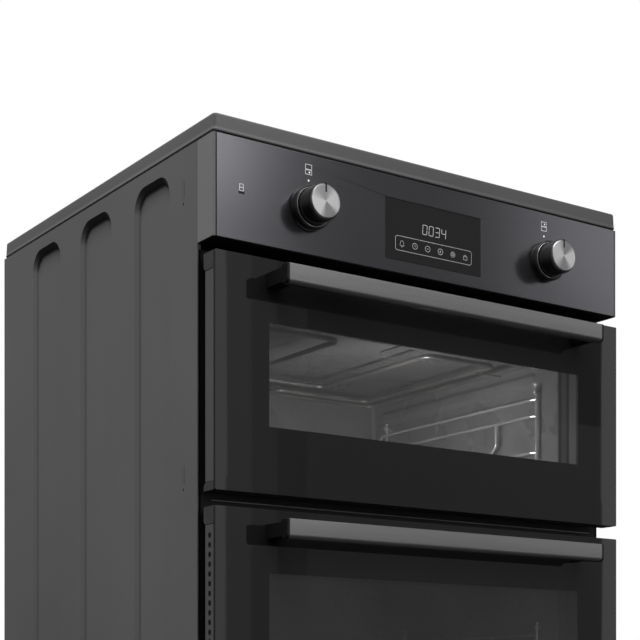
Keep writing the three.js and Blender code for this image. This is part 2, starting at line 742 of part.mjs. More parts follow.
function blowerHousing() {
  const { half, radius, s, z } = blower;
  const r = radius + 5;
  const shell = block(-half - 6, half + 6, s - r - 70, s + r, z - r - 2, z + r);
  const scroll = rodX(radius + 3, -half - 2, half + 2, s, z, 24);
  const duct = block(-half - 2, half + 2, s - r - 71, s, z - radius, z - 4);
  const inlet = block(-half - 2, half + 2, s - 4, s + r - 5, z, z + r + 1);
  const bores = rodX(6, -half - 7, half + 7, s, z, 12);
  return cut(shell, scroll, duct, inlet, bores);
}

function blowerRotor() {
  const { half, radius, s, z } = blower;
  const shaft = rodX(4, -half - 5, half + 5, s, z, 12);
  const discs = [-half, -2, half - 4].map((x) => rodX(radius, x, x + 4, s, z, 16));
  const vanes = Array.from({ length: 8 }, (_, i) => {
    const angle = (2 * Math.PI * i) / 8;
    const vane = new THREE.BoxGeometry(2 * half, 1, 7).translate(0, 0, radius - 4.5);
    return vane.rotateX(angle).translate(0, behind(s), z);
  });
  return join(shaft, ...discs, ...vanes);
}

const topBack = cavityLimits(topCavity).back;
const rackDepths = {
  top: { near: 62, far: topBack - 30 },
  main: { near: 62, far: fanCover.front - 12 },
};
const shelfDepths = {
  top: { near: 112, far: topBack - 34 },
  main: { near: 74, far: fanCover.front - 16 },
};

function buildOvens() {
  const leadHoles = [
    rodY(5.2, grillLeads[0], topBack - 1, topBack + 3, grillZ, 10),
    rodY(5.2, grillLeads[1], topBack - 1, topBack + 3, grillCross, 10),
  ];
  const fanHoles = [
    rodY(7, 0, mainBack - 1, mainBack + 3, fanZ, 14),
    rodY(5.2, -ringLeadX, mainBack - 1, mainBack + 3, ringLeadZ, 10),
    rodY(5.2, ringLeadX, mainBack - 1, mainBack + 3, ringLeadZ, 10),
  ];
  part('top_cavity', cavityShell(topCavity, ...leadHoles), 0x6d6e70, 0.35, 0.1);
  part('main_cavity', cavityShell(mainCavity, ...fanHoles), 0x6d6e70, 0.35, 0.1);
  part('insulation', insulation(), 0xc9c3a8, 0.95, 0);
  part('grill_element', grillElement(), 0x8a8a8a, 0.4, 0.9);
  part('ring_element', ringElement(), 0x8a8a8a, 0.4, 0.9);
  part('fan_cover', fanCoverPlate(), 0x55565a, 0.4, 0.3);
  part('fan_motor', motorBody(), 0x8c8f93, 0.45, 0.8);
  part('fan_rotor', fanRotor(), 0xa9abad, 0.4, 0.9);
  part('blower_housing', blowerHousing(), 0x9a9c9e, 0.45, 0.8);
  part('blower_rotor', blowerRotor(), 0xa9abad, 0.4, 0.9);
  for (const cavity of [topCavity, mainCavity]) {
    const { name } = cavity;
    const rack = rackDepths[name];
    const shelf = shelfDepths[name];
    pair(`${name}_rack`, sideRack(cavity, rack.near, rack.far), 0xd0d2d4, 0.15, 1);
    part(`${name}_shelf`, wireShelf(cavity, shelf.near, shelf.far), 0xd0d2d4, 0.15, 1);
    part(`${name}_lamp`, lampBody(cavity), 0xf3ead0, 0.2, 0);
    part(`${name}_door_seal`, cavitySeal(cavity), 0x2c2c2c, 0.9, 0);
  }
}

// --- Doors --------------------------------------------------------------------

const innerGlassFront = doorPan.back + clearance;
const doorBack = innerGlassFront + glassThickness;
const doorEdge = width / 2 - doorSideGap;

// A pressed pan behind the glass: outer rim, back with an opening, and hinge carriers.
function doorFrame(bottom, top) {
  const front = doorFront + glassThickness + clearance;
  const { back, skin, lower, upper, lap } = doorPan;
  const x = doorEdge - 0.5;
  const hole = { x: cavityWidth / 2 + lap, low: bottom + lower, high: top - upper };
  const pan = cut(
    block(-x, x, front, back, bottom, top),
    block(-x + skin, x - skin, front - 1, back - skin, bottom + skin, top - skin));
  const tunnel = block(-hole.x - skin, hole.x + skin, front, back, hole.low - skin, hole.high + skin);
  const opening = block(-hole.x, hole.x, front - 1, back + 1, hole.low, hole.high);
  const z = bottom + pivot.rise;
  const carriers = [-pivotX, pivotX].map((at) =>
    block(at - 9, at + 9, front, back, bottom, z + 24));
  const slotHalf = pivot.arm / 2 + pivot.slack;
  const slots = [-pivotX, pivotX].map((at) =>
    block(at - slotHalf, at + slotHalf, front + 2, back + 1, bottom - 1, z + 10));
  const pins = [-pivotX, pivotX].map((at) => rodX(pivot.pin, at - 6, at + 6, pivot.s, z, 12));
  return join(cut(join(pan, tunnel, ...carriers), opening, ...slots), ...pins);
}

function doorGlass(bottom, top) {
  return block(-doorEdge, doorEdge, doorFront, doorFront + glassThickness, bottom, top);
}

function innerGlass(bottom, top) {
  const x = doorEdge - innerGlassBorder + 6;
  return block(-x, x, innerGlassFront, doorBack, bottom + pivot.rise + 16, top - 22);
}

// A hinge arm: an eye on the pivot pin and a bar that runs back into the cabinet.
function hingeArm(side, z) {
  const x = side * pivotX;
  const half = pivot.arm / 2;
  const body = join(
    rodX(pivot.eye, x - half, x + half, pivot.s, z, 16),
    block(x - half, x + half, pivot.s, pivot.reach, z - 5, z + 5));
  return cut(body, rodX(pivot.pin + 0.4, x - half - 1, x + half + 1, pivot.s, z, 12));
}

const barBack = -handleReach + handle.thickness;

function handleBar(top) {
  const z = top - handle.drop;
  const x = handleHalf - handle.cap - clearance;
  return block(-x, x, -handleReach, barBack, z - handle.height, z);
}

// The right end: a cap over the end of the bar and an arm behind it that meets the glass.
function handleEnd(top) {
  const z = top - handle.drop;
  const bottom = z - handle.height;
  const cap = block(handleHalf - handle.cap, handleHalf, -handleReach, barBack + 2, bottom, z);
  const arm = block(handleHalf - handle.arm, handleHalf, barBack + clearance, doorFront - clearance,
    bottom + handle.armDrop, z - handle.armDrop);
  return join(cap, arm);
}

function buildDoor(name, bottom, top) {
  part(`${name}_door_glass`, doorGlass(bottom, top), 0x111112, 0.05, 0);
  part(`${name}_door_inner_glass`, innerGlass(bottom, top), 0x5c6062, 0.05, 0);
  part(`${name}_door_frame`, doorFrame(bottom, top), 0x3a3b3d, 0.45, 0.3);
  part(`${name}_handle_bar`, handleBar(top), 0x7d7e80, 0.35, 0.9);
  pair(`${name}_handle_end`, handleEnd(top), 0x141414, 0.4, 0);
  for (const [side, sign] of [['left', -1], ['right', 1]]) {
    const arm = hingeArm(sign, bottom + pivot.rise);
    part(`${name}_hinge_${side}`, arm, 0xa0a2a4, 0.4, 0.9);
  }
}

buildCabinet();
buildHob();
buildFascia();
buildOvens();
buildDoor('top', topDoorBottom, topDoorTop);
buildDoor('main', mainDoorBottom, mainDoorTop);

export default parts;
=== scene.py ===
import math
import bpy
import bmesh
from mathutils import Matrix, Vector


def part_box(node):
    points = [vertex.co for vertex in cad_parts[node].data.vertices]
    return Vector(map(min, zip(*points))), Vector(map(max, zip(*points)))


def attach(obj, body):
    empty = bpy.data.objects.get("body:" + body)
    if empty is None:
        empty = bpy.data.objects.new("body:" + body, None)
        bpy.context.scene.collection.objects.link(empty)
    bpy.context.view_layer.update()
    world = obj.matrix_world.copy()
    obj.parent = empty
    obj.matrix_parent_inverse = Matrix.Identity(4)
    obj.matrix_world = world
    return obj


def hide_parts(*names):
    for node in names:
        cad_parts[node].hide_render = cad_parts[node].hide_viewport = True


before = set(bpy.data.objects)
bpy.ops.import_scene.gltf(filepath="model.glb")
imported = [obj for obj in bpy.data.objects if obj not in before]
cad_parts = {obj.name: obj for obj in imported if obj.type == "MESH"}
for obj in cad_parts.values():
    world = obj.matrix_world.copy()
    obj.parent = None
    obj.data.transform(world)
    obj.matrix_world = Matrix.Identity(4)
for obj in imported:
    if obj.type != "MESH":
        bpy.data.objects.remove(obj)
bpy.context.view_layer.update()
mm = 0.001
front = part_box("fascia_panel")[0].y  # fascia face; depths behind it are called s
collection = bpy.context.scene.collection


def place(x, s, z):
    return Vector((x * mm, front + s * mm, z * mm))


def limits(node):
    # a CAD node's box in millimetres: x0, x1, s0, s1, z0, z1
    low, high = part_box(node)
    return (low.x / mm, high.x / mm, (low.y - front) / mm, (high.y - front) / mm, low.z / mm, high.z / mm)


# Node trees

class Link:
    # one output of a node, with the operators that make maths readable
    def __init__(self, graph, socket):
        self.graph = graph
        self.socket = socket

    def maths(self, operation, *values):
        return self.graph.node("ShaderNodeMath", {"operation": operation}, dict(enumerate(values)))

    def __pow__(self, other):
        return self.maths("POWER", self, other)

    def __lt__(self, other):
        return self.maths("LESS_THAN", self, other)

    def __gt__(self, other):
        return self.maths("GREATER_THAN", self, other)

    def __abs__(self):
        return self.maths("ABSOLUTE", self)

    def maximum(self, other):
        return self.maths("MAXIMUM", self, other)

    def sine(self):
        return self.maths("SINE", self)

    def output(self, name):
        return Link(self.graph, self.socket.node.outputs[name])


def addOperator(symbol, operation):
    # both the plain form and the reflected one
    setattr(Link, f"__{symbol}__", lambda link, other: link.maths(operation, link, other))
    setattr(Link, f"__r{symbol}__", lambda link, other: link.maths(operation, other, link))


for symbol, operation in {"add": "ADD", "sub": "SUBTRACT", "mul": "MULTIPLY", "truediv": "DIVIDE"}.items():
    addOperator(symbol, operation)


class Graph:
    # any node is made by node(): its type, its settings first, then its sockets
    def __init__(self, tree):
        self.tree = tree

    def node(self, kind, settings=None, inputs=None):
        made = self.tree.nodes.new(kind)
        for key, value in (settings or {}).items():
            if key == "stops":
                ramp = made.color_ramp
                while len(ramp.elements) < len(value):
                    ramp.elements.new(1.0)
                for element, (position, shade) in zip(ramp.elements, value):
                    element.position = position
                    element.color = (*shade, 1.0)
            else:
                setattr(made, key, value)
        for key, value in (inputs or {}).items():
            if isinstance(value, Link):
                self.tree.links.new(value.socket, made.inputs[key])
            else:
                made.inputs[key].default_value = value
        return Link(self, made.outputs[0]) if made.outputs else made


class Finish(Graph):
    # a procedural surface; constants are set on the shader's own sockets
    def __init__(self, name, **constants):
        self.material = bpy.data.materials.new(name)
        self.material.use_nodes = True
        super().__init__(self.material.node_tree)
        self.tree.nodes.clear()
        sockets = {key.replace("_", " "): value for key, value in constants.items()}
        self.surface = self.node("ShaderNodeBsdfPrincipled", None, sockets)
        self.node("ShaderNodeOutputMaterial", None, {"Surface": self.surface})
        self.point = self.node("ShaderNodeTexCoord").output("Object")

    def coordinates(self):
        split = self.node("ShaderNodeSeparateXYZ", None, {0: self.point})
        return split.output("X"), split.output("Y"), split.output("Z")

    def stretched(self, x, y, z):
        return self.node("ShaderNodeMapping", None, {"Vector": self.point, "Scale": (x, y, z)})

    def noise(self, scale, detail=3.0, vector=None):
        return self.node("ShaderNodeTexNoise", None,
                         {"Vector": vector or self.point, "Scale": scale, "Detail": detail})

    def cells(self, scale, output="Distance", vector=None):
        sockets = {"Vector": vector or self.point, "Scale": scale}
        return self.node("ShaderNodeTexVoronoi", None, sockets).output(output)

    def shades(self, scale, vector=None):
        # one random level for each cell
        return self.node("ShaderNodeSeparateColor", None, {0: self.cells(scale, "Color", vector)})

    def blend(self, factor, first, second):
        settings = {"data_type": "RGBA"}
        mixed = self.node("ShaderNodeMix", settings, {0: factor, 6: first, 7: second})
        return Link(self, mixed.socket.node.outputs[2])

    def ramp(self, factor, *stops):
        return self.node("ShaderNodeValToRGB", {"stops": stops}, {0: factor})

    def tones(self, factor, colour, spread, low=0.3, high=0.7):
        # a colour that drifts by a share of itself
        darker, paler = (tuple(c * (1 + sign * spread) for c in colour) for sign in (-1, 1))
        return self.ramp(factor, (low, darker), (high, paler))

    def colour(self, value):
        self.set("Base Color", value)

    def set(self, socket, value):
        self.tree.links.new(value.socket, self.surface.socket.node.inputs[socket])

    def bump(self, height, strength, distance):
        sockets = {"Height": height, "Strength": strength, "Distance": distance * mm}
        self.set("Normal", self.node("ShaderNodeBump", None, sockets))


def grey(level):
    return (level, level, level, 1.0)


class Recipe(Graph):
    # a Geometry Nodes tree with named inputs, which ends in Realize Instances and Set Material
    kinds = {"count": "NodeSocketInt", "size": "NodeSocketFloat", "vector": "NodeSocketVector",
             "object": "NodeSocketObject", "material": "NodeSocketMaterial"}

    def __init__(self, name, sockets):
        super().__init__(bpy.data.node_groups.new(name, "GeometryNodeTree"))
        interface = self.tree.interface
        interface.new_socket("Geometry", in_out="INPUT", socket_type="NodeSocketGeometry")
        interface.new_socket("Geometry", in_out="OUTPUT", socket_type="NodeSocketGeometry")
        for label, kind in {**sockets, "Finish": "material"}.items():
            interface.new_socket(label, in_out="INPUT", socket_type=self.kinds[kind])
        self.entry = self.node("NodeGroupInput")

    def input(self, name):
        return self.entry.output(name)

    def close(self, geometry):
        real = self.node("GeometryNodeRealizeInstances", None, {"Geometry": geometry})
        dressed = self.node("GeometryNodeSetMaterial", None,
                            {"Geometry": real, "Material": self.input("Finish")})
        self.node("NodeGroupOutput", None, {"Geometry": dressed})

    def grow(self, data, **values):
        # runs the tree on mesh or curve data and returns the result as a plain mesh
        carrier = bpy.data.objects.new("carrier", data)
        collection.objects.link(carrier)
        modifier = carrier.modifiers.new("recipe", "NODES")
        modifier.node_group = self.tree
        for item in self.tree.interface.items_tree:
            if item.in_out == "INPUT" and item.name in values:
                modifier[item.identifier] = values[item.name]
        evaluated = carrier.evaluated_get(bpy.context.evaluated_depsgraph_get())
        mesh = bpy.data.meshes.new_from_object(evaluated)
        bpy.data.objects.remove(carrier)
        return mesh


def wireRecipe():
    # round wire along a path, with every corner bent to a radius
    recipe = Recipe("bentWire", {"Radius": "size", "Bend": "size", "Bend Steps": "count", "Sides": "count"})
    bent = recipe.node("GeometryNodeFilletCurve", {"mode": "POLY"},
                       {"Curve": recipe.input("Geometry"), "Radius": recipe.input("Bend"),
                        "Limit Radius": True, "Count": recipe.input("Bend Steps")})
    ring = recipe.node("GeometryNodeCurvePrimitiveCircle", None,
                       {"Resolution": recipe.input("Sides"), "Radius": recipe.input("Radius")})
    recipe.close(recipe.node("GeometryNodeCurveToMesh", None,
                             {"Curve": bent, "Profile Curve": ring, "Fill Caps": True}))
    return recipe


def rowRecipe():
    # copies of one shape at even steps along a line
    recipe = Recipe("row", {"Shape": "object", "Count": "count", "Step": "vector"})
    line = recipe.node("GeometryNodeMeshLine", {"mode": "OFFSET"},
                       {"Count": recipe.input("Count"), "Offset": recipe.input("Step")})
    shape = recipe.node("GeometryNodeObjectInfo", None, {"Object": recipe.input("Shape")}).output("Geometry")
    recipe.close(recipe.node("GeometryNodeInstanceOnPoints", None, {"Points": line, "Instance": shape}))
    return recipe


wireTree = wireRecipe()
rowTree = rowRecipe()
print("node trees ready")


# Shapes: all are built in millimetres with s as depth behind the fascia

def arcPoints(u, v, radius, start, end, steps):
    # from start to end in degrees, both included
    turn = [math.radians(start + (end - start) * i / steps) for i in range(steps + 1)]
    return [(u + radius * math.cos(angle), v + radius * math.sin(angle)) for angle in turn]


def roundedBox(u0, u1, v0, v1, radius, steps):
    return roundedOutline(u1 - u0, v1 - v0, radius, steps, ((u0 + u1) / 2, (v0 + v1) / 2))


def roundedOutline(width, height, radius, steps=6, centre=(0.0, 0.0)):
    points = []
    for quarter, (su, sv) in enumerate([(1, 1), (-1, 1), (-1, -1), (1, -1)]):
        points += arcPoints(centre[0] + su * (width / 2 - radius), centre[1] + sv * (height / 2 - radius),
                            radius, 90 * quarter, 90 * (quarter + 1), steps)
    return points


def circleOutline(radius, sides, centre=(0.0, 0.0)):
    return [(centre[0] + radius * math.cos(2 * math.pi * i / sides),
             centre[1] + radius * math.sin(2 * math.pi * i / sides)) for i in range(sides)]


def rectangle(u0, u1, v0, v1):
    return [(u0, v0), (u1, v0), (u1, v1), (u0, v1)]


def addRings(shape, rings, closed=True, capped=True, index=0):
    # skins a list of rings of points; closed joins the last point of each ring to its first
    rows = [[shape.verts.new(point) for point in ring] for ring in rings]
    count = len(rows[0])
    for lower, upper in zip(rows, rows[1:]):
        for i in range(count if closed else count - 1):
            j = (i + 1) % count
            shape.faces.new((lower[i], lower[j], upper[j], upper[i])).material_index = index
    if capped:
        shape.faces.new(rows[0][::-1]).material_index = index
        shape.faces.new(rows[-1]).material_index = index
    return rows


def addSheet(shape, outlines, at, index=0):
    # a flat sheet with holes: the first outline is the edge, the others are holes
    edges = []
    loops = []
    for outline in outlines:
        loop = [shape.verts.new(at(u, v)) for u, v in outline]
        edges += [shape.edges.new((loop[i - 1], loop[i])) for i in range(len(loop))]
        loops.append(loop)
    filled = bmesh.ops.triangle_fill(shape, use_beauty=True, edges=edges)
    for face in filled["geom"]:
        if isinstance(face, bmesh.types.BMFace):
            face.material_index = index
    return loops


def addPlate(shape, outlines, at, near, far, index=0):
    # a solid plate with holes between two levels
    nearLoops = addSheet(shape, outlines, lambda u, v: at(u, v, near), index)
    farLoops = addSheet(shape, outlines, lambda u, v: at(u, v, far), index)
    for nearLoop, farLoop in zip(nearLoops, farLoops):
        for i in range(len(nearLoop)):
            face = shape.faces.new((nearLoop[i - 1], nearLoop[i], farLoop[i], farLoop[i - 1]))
            face.material_index = index


def newPlate(*plate):
    shape = bmesh.new()
    addPlate(shape, *plate)
    return shape


def addBlock(shape, x0, x1, s0, s1, z0, z1, index=0):
    addPlate(shape, [rectangle(x0, x1, z0, z1)], frontal, s0, s1, index)


def addLathe(shape, profile, sides, at, index=0):
    # profile holds (radius, level) pairs; at(u, v, level) places a point of the turned ring
    rings = [[at(u, v, level) for u, v in circleOutline(max(r, 0.0), sides)] for r, level in profile]
    rows = addRings(shape, rings, capped=False, index=index)
    bmesh.ops.remove_doubles(shape, verts=[vert for row in rows for vert in row], dist=1e-7)


def turnedY(x, z):
    return lambda u, v, s: place(x + u, s, z + v)


def frontal(x, z, s):
    return place(x, s, z)


def meshOf(shape, name, materials, outward=None, probe=None):
    # an open sheet has no inside: the face where probe is greatest is turned to look outward
    bmesh.ops.recalc_face_normals(shape, faces=shape.faces)
    if outward and max(shape.faces, key=probe).normal.dot(Vector(outward)) < 0:
        bmesh.ops.reverse_faces(shape, faces=shape.faces[:])
    mesh = bpy.data.meshes.new(name)
    shape.to_mesh(mesh)
    shape.free()
    for finish in materials:
        mesh.materials.append(finish)
    return mesh


def applyModifiers(piece):
    evaluated = piece.evaluated_get(bpy.context.evaluated_depsgraph_get())
    finished = bpy.data.meshes.new_from_object(evaluated)
    piece.modifiers.clear()
    piece.data = finished


def makePiece(name, shape, materials, body, replaced=(), bevel=None, solid=None, sharp=38):
    # turns a shape (or a finished mesh) into a piece that rides a body
    mesh = shape if isinstance(shape, bpy.types.Mesh) else meshOf(shape, name, materials)
    piece = bpy.data.objects.new(name, mesh)
    collection.objects.link(piece)
    if solid:
        wall = piece.modifiers.new("wall", "SOLIDIFY")
        wall.thickness = abs(solid) * mm
        wall.offset = -1.0 if solid > 0 else 1.0
        wall.use_even_offset = True
    if bevel:
        edge = piece.modifiers.new("edge", "BEVEL")
        edge.width = bevel[0] * mm
        edge.segments = bevel[1]
        edge.limit_method = "ANGLE"
        edge.angle_limit = math.radians(40)
        edge.use_clamp_overlap = True
    if solid or bevel:
        applyModifiers(piece)
    piece.data.shade_smooth()
    piece.data.set_sharp_from_angle(angle=math.radians(sharp))
    if solid or bevel:
        even = piece.modifiers.new("even", "WEIGHTED_NORMAL")
        even.keep_sharp = True
        even.weight = 80
        applyModifiers(piece)
    piece.data.name = name
    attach(piece, body)
    if replaced:
        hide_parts(*replaced)
    return piece


def joinMeshes(meshes):
    # several meshes with the same materials as one
    joined = bmesh.new()
    for mesh in meshes:
        joined.from_mesh(mesh)
    result = bpy.data.meshes.new("joined")
    joined.to_mesh(result)
    joined.free()
    for finish in meshes[0].materials:
        result.materials.append(finish)
    return result


def wirePath(corners, closed=False):
    # a poly spline through (x, s, z) corners
    curve = bpy.data.curves.new("path", "CURVE")
    curve.dimensions = "3D"
    spline = curve.splines.new("POLY")
    spline.points.add(len(corners) - 1)
    for point, corner in zip(spline.points, corners):
        point.co = (*place(*corner), 1.0)
    spline.use_cyclic_u = closed
    return curve


def bentWire(corners, radius, bend, finish, sides=10, steps=5, closed=False):
    return wireTree.grow(wirePath(corners, closed), Radius=radius * mm, Bend=bend * mm,
                         **{"Bend Steps": steps, "Sides": sides, "Finish": finish})


def rowOf(shape, finish, start, count, step):
    # the shape (or mesh) is drawn about the origin; the row starts at start
    mesh = shape if isinstance(shape, bpy.types.Mesh) else meshOf(shape, "unit", [finish])
    unit = bpy.data.objects.new("unit", mesh)
    collection.objects.link(unit)
    grown = rowTree.grow(bpy.data.meshes.new("start"), Shape=unit, Count=count,
                         Step=Vector(step) * mm, Finish=finish)
    bpy.data.objects.remove(unit)
    grown.transform(Matrix.Translation(place(*start)))
    return grown


# Finishes

def satinEnamel(name, level, roughness, tint=(1.0, 1.0, 1.0), peel=0.05, metallic=0.0):
    # sprayed enamel: slight tone drift, fine orange peel
    finish = Finish(name, Roughness=roughness, Metallic=metallic)
    finish.colour(finish.tones(finish.noise(3.0, 4.0), [level * t for t in tint], 0.07))
    finish.set("Roughness", finish.noise(40.0, 2.0) * 0.06 + (roughness - 0.03))
    finish.bump(finish.noise(900.0, 2.0), peel, 0.05)
    return finish.material


def brushedMetal(name, colour, roughness, across, metallic=1.0):
    # fine parallel scratches; across gives the stretch of the scratch noise
    finish = Finish(name, Metallic=metallic, Roughness=roughness)
    scratch = finish.noise(30.0, 4.0, finish.stretched(*across))
    low = tuple(c * 0.86 for c in colour)
    finish.colour(finish.ramp(scratch, (0.25, low), (0.75, colour)))
    finish.set("Roughness", scratch * 0.12 + (roughness - 0.06))
    finish.bump(scratch, 0.06, 0.03)
    return finish.material


def metallicPaint(name, colour, roughness):
    # dark metallic lacquer with fine flake under it
    finish = Finish(name, Metallic=0.92, Roughness=roughness)
    level = finish.shades(2600.0)
    finish.colour(finish.tones(level, colour, 0.1, 0.0, 1.0))
    finish.set("Roughness", finish.noise(6.0, 3.0) * 0.05 + (roughness - 0.025))
    finish.bump(level, 0.02, 0.01)
    return finish.material


def mouldedPlastic(name, level, roughness, grain=0.12, tint=(1.0, 1.0, 1.0)):
    finish = Finish(name, Roughness=roughness)
    patch = finish.noise(60.0, 4.0)
    finish.colour(finish.tones(patch, [level * t for t in tint], 0.15))
    finish.set("Roughness", patch * 0.08 + (roughness - 0.04))
    finish.bump(finish.noise(1500.0, 1.0), grain, 0.03)
    return finish.material


def printedGlass(name, level):
    # glass with black print fired on its back: a polished face over a deep tone
    finish = Finish(name, Roughness=0.02, IOR=1.5)
    haze = finish.noise(5.0, 3.0)
    finish.colour(finish.tones(haze, (level,) * 3, 0.1, 0.2, 0.8))
    finish.set("Roughness", haze * 0.02 + 0.01)
    return finish.material


def clearGlass(name, tone, opacity):
    # a clear pane: the alpha stands for its grey tint, with a little dust
    finish = Finish(name, Roughness=0.03, IOR=1.5)
    dust = finish.noise(7.0, 5.0)
    finish.colour(finish.tones(dust, (tone,) * 3, 0.1))
    finish.set("Alpha", dust * 0.02 + (opacity - 0.01))
    return finish.material


def hobCeramic(name, zones):
    # black glass ceramic with printed ring outlines and a fine dot print all over
    finish = Finish(name, Roughness=0.04, IOR=1.52)
    x, y, z = finish.coordinates()
    mark = None
    for centreX, centreS, radius in zones:
        dx = x - centreX * mm
        dy = y - (front + centreS * mm)
        away = (dx * dx + dy * dy) ** 0.5
        for ring in (radius, radius - 6.0):
            line = abs(away - ring * mm) < 0.5 * mm
            mark = line if mark is None else mark.maximum(line)
    speck = finish.cells(700.0) < 0.18
    base = finish.blend(speck * 0.5, grey(0.006), grey(0.03))
    finish.colour(finish.blend(mark, base, grey(0.42)))
    finish.set("Roughness", mark * 0.25 + 0.04)
    return finish.material


def vitreousEnamel(name, level):
    # oven enamel: grey with paler specks, glossy and slightly wavy
    finish = Finish(name, Roughness=0.3, Coat_Weight=0.35, Coat_Roughness=0.12)
    speck = finish.cells(420.0) < 0.16
    cloud = finish.noise(9.0, 4.0)
    base = finish.tones(cloud, (level,) * 3, 0.1)
    finish.colour(finish.blend(speck, base, grey(level * 2.1)))
    finish.set("Roughness", cloud * 0.12 + 0.22)
    finish.bump(finish.noise(70.0, 2.0), 0.08, 0.2)
    return finish.material


def spunAluminiumPaintedSheen(name, centres):
    # turned face: fine rings and streaks, with a painted highlight: a soft cross of light and dark sectors
    # about each centre, turned further on the right knob
    finish = Finish(name, Metallic=1.0, Roughness=0.3)
    x, y, z = finish.coordinates()
    side = x > 0.0
    dx = x - (side * (centres[1][0] - centres[0][0]) + centres[0][0]) * mm
    dz = z - centres[0][1] * mm
    away = (dx * dx + dz * dz) ** 0.5
    angle = dz.maths("ARCTAN2", dz, dx)
    # painted highlight and shade: bright and dark sectors by angle, as lamps would show in a lathe finish;
    # side shifts them on the right knob
    paintedSheenSectors = (angle * 2.0 + 0.9 + side * 1.0).sine() * 0.5 + (angle * 3.0 + 2.0).sine() * 0.16 + 0.5
    polar = finish.node("ShaderNodeCombineXYZ", None, {0: angle * 2.4, 1: away * 3.0})
    streak = finish.noise(26.0, 3.0, polar)
    # the colour mixes the painted sectors with the real spun streaks
    tone = paintedSheenSectors * 0.7 + streak * 0.3
    finish.colour(finish.ramp(tone, (0.2, (0.4, 0.4, 0.41)), (0.65, (0.96, 0.96, 0.97))))
    rings = finish.noise(1.0, 1.0, finish.node("ShaderNodeCombineXYZ", None, {0: away * 9000.0}))
    finish.set("Roughness", rings * 0.1 + 0.26)
    finish.bump(rings, 0.25, 0.02)
    return finish.material


def patterned(name, pattern, dark, pale, relief=None, shine=None, **constants):
    # one pattern drives the tone, the roughness (share, base) and the relief (strength, distance)
    finish = Finish(name, **constants)
    factor = pattern(finish)
    finish.colour(finish.ramp(factor, dark, pale))
    if shine:
        finish.set("Roughness", factor * shine[0] + shine[1])
    if relief:
        finish.bump(factor, *relief)
    return finish.material


def heatedTube(name):
    # sheath that has been hot: grey oxide with straw patches
    finish = Finish(name, Metallic=0.75, Roughness=0.42)
    patch = finish.noise(14.0, 5.0)
    finish.colour(finish.ramp(patch, (0.3, (0.2, 0.2, 0.21)), (0.75, (0.42, 0.4, 0.37))))
    finish.set("Roughness", patch * 0.25 + 0.3)
    finish.bump(finish.noise(600.0, 2.0), 0.1, 0.05)
    return finish.material


def litSegments(name, level, glow):
    # white marks that glow by emission; on the fascia ink, which is no lamp, the glow is painted light
    finish = Finish(name, Roughness=0.4, Emission_Strength=glow)
    patch = finish.noise(300.0, 2.0)
    tone = finish.ramp(patch, (0.3, (level * 0.92, level * 0.95, level)), (0.7, (level, level, level)))
    finish.colour(tone)
    finish.set("Emission Color", tone)
    return finish.material


sidePaint = satinEnamel("sidePaint", 0.085, 0.42, (1.0, 1.0, 1.01))
hobPaint = satinEnamel("hobPaint", 0.102, 0.38, (1.0, 1.0, 1.01), metallic=0.25)
fasciaSidePaint = satinEnamel("fasciaSidePaint", 0.165, 0.38, metallic=0.25)
fasciaPaint = metallicPaint("fasciaPaint", (0.185, 0.183, 0.2), 0.17)
blackEnamel = satinEnamel("blackEnamel", 0.012, 0.35)
deepBlack = mouldedPlastic("deepBlack", 0.006, 0.6)
blackPlastic = mouldedPlastic("blackPlastic", 0.012, 0.42)
stripPlastic = mouldedPlastic("stripPlastic", 0.034, 0.38)
glossBlack = mouldedPlastic("glossBlack", 0.016, 0.16, grain=0.02)
creamPlastic = mouldedPlastic("creamPlastic", 0.62, 0.5, tint=(1.0, 0.96, 0.86))
panPaint = satinEnamel("panPaint", 0.06, 0.45)
zincSheet = patterned("zincSheet", lambda f: f.shades(90.0), (0.0, (0.42, 0.43, 0.45)),
                      (1.0, (0.6, 0.61, 0.62)), (0.03, 0.02), (0.2, 0.32), Metallic=0.9)
hingeSteel = brushedMetal("hingeSteel", (0.5, 0.5, 0.5), 0.38, (1.0, 8.0, 40.0))
motorSteel = brushedMetal("motorSteel", (0.55, 0.55, 0.56), 0.4, (20.0, 1.0, 20.0))
handleSatin = brushedMetal("handleSatin", (0.3, 0.3, 0.305), 0.34, (0.6, 40.0, 40.0), 0.8)
cavityEnamel = vitreousEnamel("cavityEnamel", 0.16)
fanEnamel = vitreousEnamel("fanEnamel", 0.1)
wireChrome = patterned("wireChrome", lambda f: f.noise(120.0, 3.0), (0.2, (0.78, 0.78, 0.8)),
                       (0.8, (0.92, 0.92, 0.93)), shine=(0.1, 0.15), Metallic=0.7)
wireTube = heatedTube("wireTube")
sealBlack = patterned("sealBlack", lambda f: f.noise(500.0, 3.0), (0.3, (0.012,) * 3), (0.7, (0.026,) * 3),
                      (0.3, 0.15), Roughness=0.85)
wool = patterned("wool", lambda f: f.noise(160.0, 8.0, f.stretched(1.0, 1.0, 4.0)), (0.3, (0.5, 0.45, 0.3)),
                 (0.7, (0.8, 0.74, 0.56)), (0.8, 2.0), Roughness=0.95)
boardGreen = patterned("boardGreen", lambda f: f.shades(260.0, f.stretched(1.0, 1.0, 0.4)),
                       (0.4, (0.01, 0.07, 0.03)), (0.6, (0.03, 0.16, 0.07)), (0.1, 0.1), Roughness=0.5)
doorPrint = printedGlass("doorPrint", 0.012)
clockGlass = printedGlass("clockGlass", 0.022)
doorPane = clearGlass("doorPane", 0.12, 0.2)
innerPane = clearGlass("innerPane", 0.05, 0.07)
lampPane = clearGlass("lampPane", 0.8, 0.5)
# fascia ink: white print with a painted glow
whiteInk = litSegments("whiteInk", 0.75, 0.7)
segmentWhite = litSegments("segmentWhite", 0.6, 0.25)
print("finishes ready")


# Stage: pale floor, soft studio cards, camera

stage = {"floorSize": 7.0, "white": 1.0, "upper": 0.1, "lower": 0.015}

